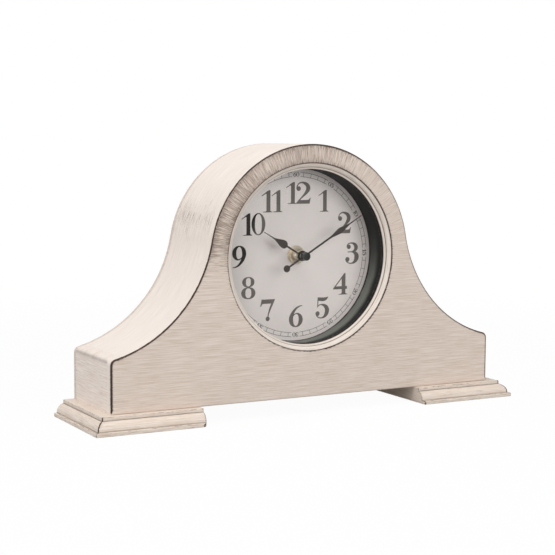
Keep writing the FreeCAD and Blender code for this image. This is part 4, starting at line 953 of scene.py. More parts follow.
@dataclass(frozen=True)
class Brushwork:
    """Which way the brush went over the front, and where the glaze is thickest.

    Above the axis of the hands the strokes run outwards from it, so the rim is crossed at right angles, and
    below it they run level. The two agree on the level line, so there is no break. All methods take places
    across and heights of points of the front face, mm.
    """

    axis_height: float = DIAL_HEIGHT
    rim_radius: float = 82.0

    # wear: its least, what the arch adds and over which rise, what the right lacks and what the left adds
    wear_least: float = 0.15
    wear_above: float = 0.85
    wear_rise: tuple = (-0.45, 0.35)
    wear_middle: float = 0.9
    right_less: float = 0.65
    right_span: tuple = (0.1, 0.75)
    left_more: float = 0.4
    left_span: tuple = (0.55, 0.95)

    # the arris: usual thinness, what the upright ends take off it, and spots in degrees round the arch
    thin_usual: float = 1.15
    thin_upright: float = 0.35
    upright_drop: tuple = (45.0, 60.0)
    upright_reach: tuple = (150.0, 175.0)
    thin_spots: tuple = ((-0.4, 72.0, 26.0), (0.25, 146.0, 26.0), (0.2, 20.0, 24.0))

    def flow(self, x: Array, z: Array) -> Array:
        """The brush's way: radius and angle times the rim's radius above the axis, x and height below it.

        Args:
            x: places across.
            z: heights.

        Returns:
            Place along and across the brush, mm.
        """
        up = z - self.axis_height
        angle = np.arctan2(np.maximum(up, 0.0), np.abs(x))
        across = np.where(up > 0, angle * self.rim_radius, up)
        along = np.where(up > 0, np.hypot(x, up), np.abs(x))
        side = np.where(x < 0, -1.0, 1.0)
        return joined(side * along, side * across)

    def wear(self, x: Array, z: Array) -> Array:
        """How brown the paint is: most on the left and at the top of the arch, less on its right.

        Args:
            x: places across.
            z: heights.

        Returns:
            Wear, about 0 to 1.
        """
        rise = (z - self.axis_height) / self.rim_radius
        aside = x / self.rim_radius
        less = self.right_less * smooth_step(aside, *self.right_span)
        more = self.left_more * smooth_step(-aside, *self.left_span)
        above = self.wear_above * smooth_step(rise, *self.wear_rise)
        return self.wear_least + above * (self.wear_middle - less + more)

    def thinning(self, x: Array, z: Array) -> Array:
        """How thin the glaze lies on the arris: 1 is usual, less is a broader line, more a finer one.

        Args:
            x: places across.
            z: heights.

        Returns:
            The factor on the distance from the arris.
        """
        up = z - self.axis_height
        angle = np.degrees(np.arctan2(up, x))
        upright = smooth_step(-up, *self.upright_drop) * smooth_step(np.abs(x), *self.upright_reach)
        return spotted(self.thin_usual - self.thin_upright * upright, angle, self.thin_spots)


@dataclass
class Case:
    """The wooden case: front board, bent top band, two end boards and two moulded feet."""

    front_paint: Material
    band_paint: Material
    end_paint: Material
    foot_paint: Material
    bare: Material
    outline: Outline = field(default_factory=Outline)
    brush: Brushwork = field(default_factory=Brushwork)
    depth: float = 80.0
    front_thick: float = 8.0
    back_thick: float = 5.0
    band_thick: float = 4.0
    end_thick: float = 9.0
    hole_radius: float = 75.3
    arris: float = 1.2
    hole_arris: float = 0.25
    crest_counts: tuple = (90, 90)

    # the front board's rows: depths on its side, insets on its face, shares of the way to the hole, gaps and
    # depths by the hole and the cut of its arris; and directions in degrees that the low outline is joined to
    side_depths: tuple = (5.0, 3.4, 2.4, 1.8, 1.45)
    rounding_rows: int = 7
    face_insets: tuple = (1.35, 1.6, 2.0, 2.6, 3.4, 4.4, 6.0)
    web_shares: tuple = (0.12, 0.25, 0.4, 0.55, 0.7, 0.85, 1.0)
    hole_gaps: tuple = (4.0, 2.6, 1.6, 1.0, 0.6)
    hole_depths: tuple = (1.2, 3.0)
    hole_cut: float = 0.08
    low_angles: tuple = (-90.0, -62.0, -50.0)

    # how much further away the bottom arris counts, wear of the board's side, and the hole's arris and glaze
    # by the gap from it
    bottom_gap: float = 1.6
    side_wear: float = 0.2
    hole_edge: tuple = (0.8, 0.45)
    hole_crease: float = 0.95
    joint_crease: float = 0.6
    joint_gap: tuple = (-0.5, -0.15)

    # wear of the band: its least, and spots in degrees round the arch; of the end boards: its least, glaze
    # with painted shade and wear at the shoulder, how far below it they lie and how wide
    flank_least: float = 0.12
    flank_spots: tuple = ((0.9, 160.0, 12.0), (0.3, 24.0, 12.0))
    end_wear: float = 0.2
    shoulder_glaze_and_shade: float = 0.45
    shoulder_wear: float = 0.25
    shoulder_drop: float = 2.2
    shoulder_width: float = 1.3

    # depths of the rows between the boards of band and end boards
    band_depths: tuple = (9.0, 20.0, 32.0, 44.0, 56.0, 66.0, 74.0)
    end_depths: tuple = (9.0, 20.0, 40.0, 60.0, 74.0)

    def hole_angles(self) -> Array:
        """Direction on the dial hole that each point of the outline is joined to.

        Points of the arch are joined straight outwards. The rest of the outline is shared out along its
        length, so that the lines from the hole to the outline never cross.

        Returns:
            The directions, in radians.
        """
        half = self.outline.half(0.0)
        bottom, side = self.outline.counts[:2]
        meet = len(half) - self.outline.counts[-1]
        lengths = path_lengths(half)
        angle = np.degrees(np.arctan2(half[:, 1] - self.outline.arch_height, half[:, 0]))
        stations = [0.0, lengths[bottom - 1], lengths[bottom + side - 2], lengths[meet]]
        angle[:meet] = np.interp(lengths[:meet], stations, [*self.low_angles, angle[meet]])
        return np.radians(np.concatenate([angle, 180 - angle[::-1][1:]]))

    def edge_rows(self) -> list[tuple[Array, Array, Array]]:
        """Rows of the front board from its back face round the arris and onto the face.

        Returns:
            Each row's points, brush coordinates and marks.
        """
        along = self.outline.along()
        level = self.outline.loop(0.0)[:, 1:] < self.outline.shoulder_height - self.outline.shoulder_round
        rows = [(0.0, depth) for depth in (self.front_thick, *self.side_depths)]
        rows += [(self.arris * (1 - math.cos(turn)), self.arris * (1 - math.sin(turn)))
                 for turn in np.radians(np.linspace(0, 90, self.rounding_rows))]
        rows += [(inset, 0.0) for inset in self.face_insets]
        made = []
        for inset, depth in rows:
            flat = self.outline.loop(inset)
            x, z = flat.T
            on_face = depth <= 0.0
            rolled = math.acos(max(1 - inset / self.arris, 0.0)) * self.arris + max(inset - self.arris, 0.0)
            edge = abs(rolled - max(depth - self.arris, 0.0) - self.arris * math.pi / 4)
            at_bottom = np.isclose(z, self.outline.bottom + inset)
            edge = (edge + self.bottom_gap * at_bottom) * self.brush.thinning(x, z)
            wear = self.brush.wear(x, z) * (1.0 if on_face else self.side_wear)
            on_side = np.where(level, joined(depth, z), joined(along, depth))
            flow = self.brush.flow(x, z) if on_face else on_side
            made.append((lifted(flat, depth), flow, joined(edge, 0.0, wear)))
        return made

    def web_rows(self, outer: Array) -> list[tuple[Array, Array, Array]]:
        """Rows of the front board over its face to the hole and through it.

        Args:
            outer: the last row's points before these.

        Returns:
            Each row's points, brush coordinates and marks.
        """
        angles = self.hole_angles()
        ring = around(self.hole_radius + self.face_insets[-1], 0.0, angles)
        loops = [outer * (1 - share) + ring * share for share in self.web_shares]
        rows = [(gap, 0.0) for gap in (*self.hole_gaps, self.hole_arris)]
        rows.append((self.hole_cut, self.hole_cut))
        rows += [(0.0, depth) for depth in (self.hole_arris, *self.hole_depths, self.front_thick)]
        loops += [around(self.hole_radius + gap, depth, angles) for gap, depth in rows]
        made = []
        for loop in loops:
            x, depth, z = loop.T
            gap = np.hypot(x, z - DIAL_HEIGHT) - self.hole_radius
            edge = self.outline.depth_inside(x, z) - self.arris + self.arris * math.pi / 4
            slope, least = self.hole_edge
            edge = np.minimum(edge * self.brush.thinning(x, z), gap * slope + least)
            joint = smooth_step(-gap, *self.joint_gap) * self.joint_crease
            crease = np.where(depth > 0.0, self.hole_crease, joint)
            marks = joined(np.maximum(edge, 0.0), crease, self.brush.wear(x, z))
            made.append((loop, self.brush.flow(x, z), marks))
        return made

    def front_board(self) -> None:
        """The front board: loops of the outline moved inwards, ruled over to rings round the hole.

        Its side as far as the rounding carries on the band's paint.
        """
        rows = self.edge_rows()
        rows += self.web_rows(rows[-1][0])
        grid, flow, marks = (np.stack(part) for part in zip(*rows))
        last = len(self.side_depths) + 1
        work = Patchwork().sheet(grid[:last + 1], flow[:last + 1], marks[:last + 1], 1)
        work.sheet(grid[last:], flow[last:], marks[last:]).sheet(grid[[-1, 0]])
        place = Place("painted_board", ("front_panel",))
        set_up("front_board_painted", work, place, self.front_paint, self.band_paint)

    def top_band(self) -> None:
        """The bent band: the crest and a second one inside it, carried from the front board to the back."""
        end_x, counts = self.outline.half_width - self.end_thick, self.crest_counts
        crests = [whole(self.outline.crest(inset, end_x, counts)) for inset in (0.0, self.band_thick)]
        lengths = path_lengths(crests[0])
        depths = np.array([self.front_thick, *self.band_depths, self.depth - self.back_thick])[:, None]
        flow = joined(lengths - lengths[-1] / 2, depths)
        grids = np.stack([lifted(path, depths) for path in crests])
        work = Patchwork().sheet(grids[0], flow, joined(NO_EDGE, 0.0, self.flank_wear(crests[0])))
        work.sheet(grids[1], flow, finish=1)
        for row in (0, -1):
            work.sheet(grids[:, row], finish=1)
        for column in (0, -1):
            work.sheet(grids[:, :, column], finish=1)
        set_up("top_band_painted", work, Place("painted_board", ("top_band",)), self.band_paint, self.bare)

    def flank_wear(self, path: Array) -> Array:
        """Wear of the band: a brushed brown patch low on each flank of the arch and a little elsewhere."""
        angle = np.degrees(np.arctan2(path[:, 1] - self.outline.arch_height, path[:, 0]))
        return spotted(self.flank_least, angle, self.flank_spots)

    def end_board(self, side: int) -> None:
        """An end board: its outline round the upright, the rounded shoulder and the short top, carried back.

        Args:
            side: -1 for the left board and 1 for the right one.
        """
        outline = self.outline
        inner_x = outline.half_width - self.end_thick
        rest = outline.half(0.0)[outline.counts[0] - 1:]
        outer = [*rest[rest[:, 0] > inner_x], (inner_x, outline.crest_height(inner_x, 0.0))]
        loop = np.array([*outer, (inner_x, outline.bottom), outer[0]]) * (side, 1.0)
        z = loop[:, 1]
        depths = np.array([self.front_thick, *self.end_depths, self.depth - self.back_thick])[:, None]
        grid = lifted(loop, depths)
        # the brush runs upright on the side and along the loop over the shoulder, where glaze and painted
        # shade darken the rounding
        level = (z < outline.shoulder_height - outline.shoulder_round + 1.0)[:, None]
        flow = np.where(level, joined(depths, z), joined(path_lengths(loop), depths))
        near = bell(z, outline.shoulder_height - self.shoulder_drop, self.shoulder_width)
        wear = self.end_wear + self.shoulder_wear * near
        work = Patchwork().sheet(grid, flow, joined(NO_EDGE, self.shoulder_glaze_and_shade * near, wear))
        for row in (0, -1):
            work.cap(grid[row, :-1])
        name = "left_end_painted" if side < 0 else "right_end_painted"
        node = "left_end_board" if side < 0 else "right_end_board"
        set_up(name, work, Place("painted_board", (node,)), self.end_paint)

    def build(self) -> None:
        """Makes all painted pieces of the case."""
        self.front_board()
        self.top_band()
        for side in (-1, 1):
            self.end_board(side)
            Foot(self.foot_paint, side).build()


@dataclass
class Foot:
    """A moulded foot: base band, ledge, swelling, step and top band, mitred at the outer front corner."""

    paint: Material
    side: int
    height: float = 13.2
    length: float = 91.0
    outer: float = 190.5
    front: float = -13.4
    back: float = 79.0
    projection: float = 7.7
    top_band: float = 3.0
    base_band: float = 3.1
    ledge: float = 2.2
    step: float = 0.8
    bulge: float = 1.4
    softness: float = 0.7
    low_cut: float = 0.35
    end_round: float = 2.5
    wear: float = 0.32
    top_wear: float = 0.1
    arris_gap: float = 0.8
    flow_gap: float = 40.0

    # how deep the glaze lies in the corner of the ledge, how deep glaze and painted shade lie under the top
    # band, and how far they spread, mm
    creases: tuple = (0.6, 0.75)
    crease_reach: float = 0.6

    # points along the inner end, round its front corner and along the back, and shares along front and side
    end_count: int = 8
    back_count: int = 6
    front_shares: tuple = (0, 0.01, 0.03, 0.07, 0.15, 0.3, 0.45, 0.6, 0.75, 0.87, 0.94, 0.97, 0.985, 0.993,
                           0.997, 1)
    side_shares: tuple = (0, 0.003, 0.007, 0.015, 0.03, 0.06, 0.13, 0.3, 0.5, 0.7, 0.85, 0.95, 1)

    def profile(self) -> tuple[Array, Array, Array]:
        """The moulding from the floor up.

        Returns:
            (n, 2) inset and height, the distance from the nearest arris, and the depth in a crease.
        """
        soft, base, rise = self.softness, self.base_band, self.height - self.top_band
        points = bent(
            (self.low_cut, 0.0), (0.0, self.low_cut, 2), (0.0, base - soft, 5),
            round_run((soft, base - soft), soft, 180, 90, 5),
            (self.ledge, base, 6),
            bulged((self.ledge, base), (self.projection - self.step, rise), self.bulge, 22),
            (self.projection, rise, 4), (self.projection, self.height - soft, 8),
            round_run((self.projection + soft, self.height - soft), soft, 180, 90, 5),
        )
        corners = ((self.ledge, base), (self.projection, rise))
        gaps = [np.linalg.norm(points - corner, axis=1) for corner in corners]
        filled = [deep * bell(gap, 0.0, self.crease_reach) for deep, gap in zip(self.creases, gaps)]
        lengths = path_lengths(points)
        # the arrises are the middles of the two roundings and the floor's edge, whose dark line is partly
        # painted contact shadow
        edge = np.min([np.abs(lengths - lengths[at]) for at in (8, -3, 0)], axis=0)
        return points, edge + self.arris_gap, np.max(filled, axis=0)

    def plan(self, inset: float, height: float) -> Array:
        """The foot's outline from above at one inset: along the inner end, the front, the side and the back.

        Args:
            inset: how far front and side are moved inwards.
            height: height above the floor, which the soft lower edge of the inner end depends on.

        Returns:
            (n, 2) points of x and depth, ending where they start.
        """
        inner, soft = self.outer - self.length, self.end_round
        lift = soft - math.sqrt(soft ** 2 - max(soft - height, 0.0) ** 2)
        front, side = self.front + inset, self.outer - inset
        left = max(soft - inset, 0.0)
        top = math.degrees(math.atan2(left, math.sqrt(soft ** 2 - left ** 2))) if left else 0.0
        corner = round_run((inner + soft, self.front + soft), soft, 180, 180 + top, self.end_count)
        corner = np.maximum(corner, (inner + lift, front))
        begin, end, rear = corner[-1], np.array([side, front]), (side, self.back)
        along_front = begin + (end - begin) * np.array(self.front_shares)[:, None]
        along_side = end + (rear - end) * np.array(self.side_shares)[:, None]
        inner_back = (inner + lift, self.back)
        return bent(inner_back, (*corner[0], self.end_count), corner, along_front, along_side,
                    (*inner_back, self.back_count))

    def build(self) -> None:
        """Stacks the outlines of all heights into the foot and closes its top and bottom."""
        points, edge, crease = self.profile()
        loops = np.stack([self.plan(inset, height) for inset, height in points])
        grid = joined(loops[..., 0] * self.side, loops[..., 1], points[:, 1:])
        lengths = path_lengths(loops[0])
        flow = joined(lengths * self.side, path_lengths(points)[:, None] + self.flow_gap * self.side)
        # the inner end and the back have no arris or crease; the front runs from its corner to the mitre
        corner = 2 * (self.end_count - 1)
        mitre = corner + len(self.front_shares) - 1
        plain = np.ones(len(lengths), bool)
        plain[self.end_count:mitre + len(self.side_shares)] = False
        from_mitre = np.abs(lengths - lengths[mitre])
        mitre_gap = np.where(points[:, 1:] > self.base_band, from_mitre * 0.9, from_mitre + 0.5)
        end_gap = np.abs(lengths - lengths[corner]) + 0.35
        edges = np.minimum(np.minimum(edge[:, None], mitre_gap), end_gap)
        marks = joined(np.where(plain, NO_EDGE, edges), np.where(plain, 0.0, crease[:, None]), self.wear)
        work = Patchwork().sheet(grid, flow, marks)
        work.cap(grid[-1, :-1], self.top_wear)
        work.cap(grid[0, :-1])
        name = "left_foot_painted" if self.side < 0 else "right_foot_painted"
        node = "left_foot" if self.side < 0 else "right_foot"
        set_up(name, work, Place("painted_board", (node,)), self.paint)


# ---------------------------------------------------------------- dial side
@dataclass
class DialSide:
    """Bezel ring, glass, black pan and the plate of the dial, all turned about the axis of the hands."""

    ring_paint: Material
    glass: Material
    enamel: Material
    paper: Material
    hole_radius: float = 75.3
    clearance: float = 0.05
    lip_radius: float = 70.7
    step_radius: float = 72.2
    step_depth: float = 3.6
    step_rise: float = 0.4
    outer_depth: float = 0.8
    bulge: float = 0.4
    lip_depth: float = 4.8
    glass_front: float = 6.0
    glass_back: float = 8.0
    glass_radius: float = 73.1
    ground: float = 0.15
    pan_radius: float = 70.75
    pan_wall: float = 0.8
    pan_round: float = 0.3
    flange_radius: float = 85.0
    dial_thick: float = 0.6
    dial_radius: float = 70.55
    bore: float = 3.75
    facets: int = 288

    # glaze on the ring: how far behind the step and how wide, share and width by the board, and share on the
    # lip; and most wear of the face, and where it begins and ends by the step
    step_glaze: tuple = (0.3, 0.4)
    board_glaze: tuple = (0.55, 0.3)
    lip_glaze: float = 0.9
    face_wear: tuple = (0.35, -0.1, 0.6)

    def turn(self, name: str, profile: Array, place: Place, finish: Material,
             marks: Array | tuple = (NO_EDGE, 0.0, 0.0)) -> None:
        """Turns a closed profile about the axis of the hands and sets the piece up.

        Args:
            name: the piece's name.
            profile: (n, 2) radius and depth, ending where it starts or with both ends on the axis.
            place: where it belongs.
            finish: its material.
            marks: (n, 1, 3) marks of the profile's points, or one set for all.
        """
        circumference = np.linspace(0, FULL_TURN, self.facets + 1) * self.lip_radius
        flow = joined(circumference, path_lengths(profile)[:, None])
        set_up(name, Patchwork().sheet(turned(profile, self.facets), flow, marks), place, finish)

    def ring(self) -> None:
        """The bezel: a swelling face, a fine step, an inner lip and the rebate behind it."""
        outer, step = self.hole_radius - self.clearance, self.step_radius
        rebate = self.glass_radius + self.clearance
        profile = bent(
            bulged((outer, self.outer_depth), (step, self.step_depth), self.bulge, 12),
            (step, self.step_depth + self.step_rise, 3), (self.lip_radius, self.lip_depth, 6),
            (self.lip_radius, self.glass_front, 3), (rebate, self.glass_front, 2),
            (rebate, self.glass_back, 2), (outer, self.glass_back, 2), (outer, self.outer_depth, 4),
        )
        radius, depth = profile[:, :1], profile[:, 1:]
        # glaze fills the step, lies thinner where the ring meets the board, and stains the face by the step
        behind, wide = self.step_glaze
        in_step = bell(np.hypot(radius - step, depth - self.step_depth - behind), 0.0, wide)
        share, wide = self.board_glaze
        outside = share * bell(np.hypot(radius - outer, depth - self.outer_depth), 0.0, wide)
        crease = np.where(depth >= self.glass_front, self.lip_glaze, np.maximum(in_step, outside))
        most, low, high = self.face_wear
        wear = most * smooth_step(radius, step + low, step + high)
        self.turn("bezel_ring_painted", profile, Place("painted_ring", ("bezel_ring",)), self.ring_paint,
                  joined(NO_EDGE, crease, wear))

    def pane(self) -> None:
        """The flat glass with finely ground edges."""
        front, back, radius, cut = self.glass_front, self.glass_back, self.glass_radius, self.ground
        profile = bent((0.0, front), (radius - cut, front, 6), (radius, front + cut, 2),
                       (radius, back - cut, 2), (radius - cut, back, 2), (0.0, back, 6))
        self.turn("dial_glass_pane", profile, Place("clear_glass", ("dial_glass",)), self.glass)

    def pan(self) -> None:
        """The pressed pan: flange, rolled corner, wall and floor, with the bore for the sleeve."""
        wall, soft, flange, front = self.pan_wall, self.pan_round, self.flange_radius, self.glass_back
        inner, outer = self.pan_radius, self.pan_radius + wall
        floor = DIAL_DEPTH + self.dial_thick
        profile = bent(
            (self.bore, floor), (inner - soft, floor, 8), (inner, floor - soft, 3), (inner, front + soft, 12),
            round_run((inner + soft, front + soft), soft, 180, 270, 4),
            (flange, front, 4), (flange, front + wall, 2), (outer, front + wall, 3), (outer, floor + wall, 6),
            (self.bore, floor + wall, 6), (self.bore, floor, 2),
        )
        self.turn("dial_pan_pressed", profile, Place("black_enamel", ("dial_pan",)), self.enamel)

    def plate(self) -> None:
        """The dial plate, a thin disc with a bore."""
        front, back, radius = DIAL_DEPTH, DIAL_DEPTH + self.dial_thick, self.dial_radius
        profile = bent((self.bore, front), (radius, front, 14), (radius, back, 2), (self.bore, back, 4),
                       (self.bore, front, 2))
        self.turn("dial_plate_printed", profile, Place("dial_print", ("dial_plate",)), self.paper)

    def build(self) -> None:
        """Makes ring, glass, pan and plate."""
        self.ring()
        self.pane()
        self.pan()
        self.plate()


# ---------------------------------------------------------------- printing on the dial
@dataclass(frozen=True)
class Stroke:
    """A pen stroke: places on its middle line, each with half the pen's width there."""

    places: tuple[tuple[int, int, int], ...]

    def edges(self, count: int) -> tuple[Array, Array]:
        """Left and right edge of the stroke.

        The middle line is a Catmull-Rom curve through the places, and each edge lies half the pen's width to
        its side, at right angles to it.

        Args:
            count: points along the stroke.

        Returns:
            Two (count, 2) arrays.
        """
        nodes = np.array(self.places, float)
        padded = np.concatenate([2 * nodes[:1] - nodes[1:2], nodes, 2 * nodes[-1:] - nodes[-2:-1]])
        place = np.linspace(0, len(nodes) - 1, count)
        first = np.minimum(place.astype(int), len(nodes) - 2)
        t = (place - first)[:, None]
        a, b, c, d = (padded[first + step] for step in range(4))
        curve = b + 0.5 * t * (c - a + t * (2 * a - 5 * b + 4 * c - d + t * (3 * (b - c) + d - a)))
        along = np.gradient(curve[:, :2], axis=0)
        along /= np.linalg.norm(along, axis=1, keepdims=True)
        aside = joined(-along[:, 1], along[:, 0]) * curve[:, 2:]
        return curve[:, :2] + aside, curve[:, :2] - aside


@dataclass(frozen=True)
class Ring:
    """A closed oval stroke, thick at its sides and thin above and below."""

    centre: tuple[int, int]
    reach: tuple[int, int]
    thick: int
    thin: int

    def edges(self, count: int) -> tuple[Array, Array]:
        """Outer and inner edge: an ellipse whose pen swells with the square of the cosine of the turn.

        Args:
            count: points round the oval.

        Returns:
            Two (count, 2) arrays.
        """
        turn = np.linspace(0, FULL_TURN, count)
        way = joined(np.cos(turn), np.sin(turn))
        half = self.thin + (self.thick - self.thin) * way[:, :1] ** 2
        return self.centre + way * (self.reach + half), self.centre + way * (self.reach - half)


@dataclass(frozen=True)
class Dot:
    """A round drop at the end of a stroke."""

    centre: tuple[int, int]
    radius: int

    def edges(self, count: int) -> tuple[Array, Array]:
        """Upper and lower half of its circle, with so many points each."""
        upper = round_run((0, 0), self.radius, 0, 180, count)
        return self.centre + upper, self.centre + upper * (1, -1)


@dataclass(frozen=True)
class Block:
    """A straight-edged part of a numeral, such as a stem, flag or serif, as pairs of opposite edge points."""

    first: tuple[tuple[int, int], ...]
    second: tuple[tuple[int, int], ...]

    def edges(self, count: int) -> tuple[Array, Array]:
        """Its two edges, each with the points it is given."""
        return np.array(self.first, float), np.array(self.second, float)


@dataclass(frozen=True)
class Glyph:
    """A numeral of the usual book kind: its width and its parts, in thousandths of its height."""

    width: int
    parts: tuple


# the lower bowl that six and, upside down, nine share
BOWL = ((700, 968, 14), (580, 962, 27), (420, 895, 42), (270, 755, 64), (155, 570, 88), (108, 370, 106),
        (145, 190, 94), (240, 70, 54), (360, 26, 28), (480, 70, 54), (580, 190, 92), (615, 340, 106),
        (580, 490, 88), (490, 595, 50), (400, 622, 30), (290, 590, 24), (200, 500, 22))

GLYPHS = {
    "0": Glyph(700, (
        Ring((350, 500), (262, 476), 88, 24),
    )),
    "1": Glyph(533, (
        Block(((245, 30), (245, 860), (370, 990)), ((440, 30), (440, 900), (440, 1000))),
        Block(((0, 750), (150, 855), (290, 955), (370, 995)),
              ((18, 722), (200, 830), (260, 830), (430, 860))),
        Block(((85, 0), (533, 0)), ((85, 34), (533, 34))),
        Block(((190, 30), (495, 30)), ((250, 75), (435, 75))),
    )),
    "2": Glyph(740, (
        Stroke(((35, 690, 22), (55, 800, 25), (135, 915, 27), (270, 965, 33), (420, 935, 58),
                (540, 865, 86), (605, 760, 102), (600, 650, 100), (530, 530, 80), (410, 400, 52),
                (270, 270, 36), (140, 140, 31), (35, 30, 30))),
        Dot((128, 690), 108),
        Block(((0, 0), (300, 0), (600, 0), (685, 0), (735, 275)),
              ((100, 100), (170, 168), (570, 172), (645, 190), (712, 275))),
    )),
    "3": Glyph(733, (
        Stroke(((90, 790, 20), (110, 880, 23), (200, 955, 26), (350, 970, 32), (490, 915, 70),
                (575, 800, 97), (555, 680, 85), (460, 600, 48), (330, 565, 24), (130, 562, 20))),
        Stroke(((150, 562, 18), (330, 565, 24), (480, 530, 62), (590, 430, 104), (612, 310, 118),
                (560, 165, 94), (440, 58, 52), (310, 28, 28), (170, 55, 25), (60, 130, 23), (30, 220, 22))),
        Dot((190, 800), 104),
        Dot((117, 216), 112),
    )),
    "4": Glyph(744, (
        Block(((460, 30), (460, 800), (600, 1000)), ((662, 30), (662, 900), (662, 1000))),
        Block(((0, 262), (100, 335), (662, 985)), ((0, 300), (70, 385), (600, 1000))),
        Block(((0, 258), (80, 258), (710, 258), (744, 262)),
              ((0, 295), (110, 390), (710, 398), (744, 402))),
        Block(((300, 0), (760, 0)), ((300, 34), (760, 34))),
        Block(((400, 30), (720, 30)), ((465, 75), (657, 75))),
    )),
    "5": Glyph(733, (
        Block(((120, 835), (200, 822), (370, 800), (500, 812), (610, 870), (680, 985)),
              ((140, 990), (220, 982), (370, 972), (500, 972), (600, 985), (690, 1000))),
        Block(((85, 500), (100, 600), (120, 990)), ((100, 500), (145, 600), (175, 980))),
        Stroke(((115, 555, 20), (200, 625, 24), (320, 645, 30), (455, 610, 62), (570, 520, 95),
                (620, 390, 110), (595, 240, 100), (500, 105, 66), (370, 35, 32), (230, 33, 26),
                (100, 100, 23), (35, 210, 22))),
        Dot((117, 235), 110),
    )),
    "6": Glyph(722, (Stroke(BOWL),)),
    "7": Glyph(750, (
        Block(((0, 655), (35, 660), (90, 755), (150, 790), (645, 790), (730, 930)),
              ((0, 700), (30, 800), (70, 1000), (130, 985), (690, 985), (750, 1000))),
        Stroke(((715, 955, 30), (600, 760, 50), (510, 570, 46), (445, 400, 34), (405, 260, 28),
                (385, 120, 40))),
        Dot((380, 100), 102),
    )),
    "8": Glyph(711, (
        Ring((355, 763), (213, 213), 92, 23),
        Ring((355, 268), (252, 244), 104, 24),
    )),
    "9": Glyph(722, (Stroke(tuple((722 - x, 1000 - z, pen) for x, z, pen in BOWL)),)),
}


@dataclass
class DialPrint:
    """The numbers and the minute track, as thin raised layers of ink on the dial."""

    ink: Material
    ink_thick: float = 0.03
    layer_step: float = 0.0004
    sunk: float = 0.02
    height: float = 18.0
    overlap: float = 0.6
    track_inner: float = 64.0
    track_outer: float = 67.4
    track_line: float = 0.36
    small_height: float = 3.8
    small_width: float = 5.7
    small_break: float = 4.0
    laid: int = 0

    # points along each stroke of a large and of a small number, and along each arc of the track
    counts: tuple = (56, 14, 20)

    # each hour's number, the middle of its number on the dial, and the width that it fills
    places: tuple = (
        ("12", 2.1, 50.7, 23.1), ("1", 25.7, 43.8, 9.6), ("2", 46.0, 25.4, 12.8),
        ("3", 53.7, -0.4, 13.2), ("4", 42.3, -25.8, 13.4), ("5", 25.3, -44.8, 13.2),
        ("6", 0.3, -50.6, 13.0), ("7", -26.0, -44.1, 13.5), ("8", -43.6, -25.3, 12.8),
        ("9", -51.9, 0.1, 12.7), ("10", -39.1, 26.0, 21.5), ("11", -22.4, 44.3, 18.9),
    )

    def layer(self, work: Patchwork, first: Array, second: Array, closed: bool = False) -> None:
        """Adds one part of the print: a slab between two edges.

        Each lies a hair in front of the one before, so that none share a face.

        Args:
            work: the patchwork that takes it.
            first: (n, 2) points of one edge, mm from the hand axis.
            second: (n, 2) points of the other edge.
            closed: whether the ends meet.
        """
        front = DIAL_DEPTH - self.ink_thick - self.layer_step * self.laid
        back = DIAL_DEPTH + self.sunk
        rows = [(first, back), (first, front), (second, front), (second, back), (first, back)]
        grid = np.stack([lifted(edge + (0.0, DIAL_HEIGHT), depth) for edge, depth in rows])
        work.sheet(grid)
        if not closed:
            work.cap(grid[:4, 0])
            work.cap(grid[:4, -1])
        self.laid += 1

    def number(self, work: Patchwork, text: str, middle: tuple, size: tuple, count: int,
               turn: float = 0.0) -> None:
        """Sets one number.

        Args:
            work: the patchwork that takes it.
            text: its digits.
            middle: middle of the number, mm from the hand axis.
            size: its width and height, mm.
            count: points along each stroke.
            turn: how far it is turned clockwise, degrees.
        """
        width, height = size
        gap = -1000 * self.overlap / self.height if len(text) > 1 else 0.0
        natural = sum(GLYPHS[digit].width for digit in text) + gap * (len(text) - 1)
        angle = math.radians(turn)
        spin = np.array([[math.cos(angle), -math.sin(angle)], [math.sin(angle), math.cos(angle)]])
        start = 0.0
        for digit in text:
            for part in GLYPHS[digit].parts:
                corner, scale = (start - natural / 2, -500), (width / natural, height / 1000)
                edges = [(edge + corner) * scale @ spin + middle for edge in part.edges(count)]
                self.layer(work, *edges, isinstance(part, Ring))
            start += GLYPHS[digit].width + gap

    def numerals(self) -> None:
        """The twelve hour numbers."""
        work = Patchwork()
        self.laid = 0
        for text, x, z, width in self.places:
            self.number(work, text, (x, z), (width, self.height), self.counts[0])
        set_up("dial_numerals", work, Place("dial_print"), self.ink)

    def track(self) -> None:
        """Two fine circles joined by a tick at each minute, broken every five minutes by a small number."""
        work = Patchwork()
        self.laid = 0
        radii = np.array([self.track_inner, self.track_outer])
        reach = math.degrees(self.small_break / radii.mean())
        half = self.track_line / 2
        for hour in range(12):
            angle = 30.0 * hour
            spot, size = self.on_dial(radii.mean(), angle), (self.small_width, self.small_height)
            self.number(work, f"{(hour * 5) or 60:02d}", spot, size, self.counts[1], angle)
            turns = np.linspace(angle + reach, angle + 30 - reach, self.counts[2])
            for radius in radii:
                self.layer(work, self.on_dial(radius - half, turns), self.on_dial(radius + half, turns))
            for way in angle + 6.0 * np.arange(1, 5):
                aside = np.degrees(half / radii)
                self.layer(work, *(self.on_dial(radii, way + side * aside) for side in (-1, 1)))
        set_up("dial_minute_track", work, Place("dial_print"), self.ink)

    def on_dial(self, radius: Array | float, degrees: Array | float) -> Array:
        """Points at a radius in directions counted clockwise from twelve."""
        turn = np.radians(degrees)
        return joined(radius * np.sin(turn), radius * np.cos(turn))

    def build(self) -> None:
        """Prints the numbers and the track."""
        self.numerals()
        self.track()


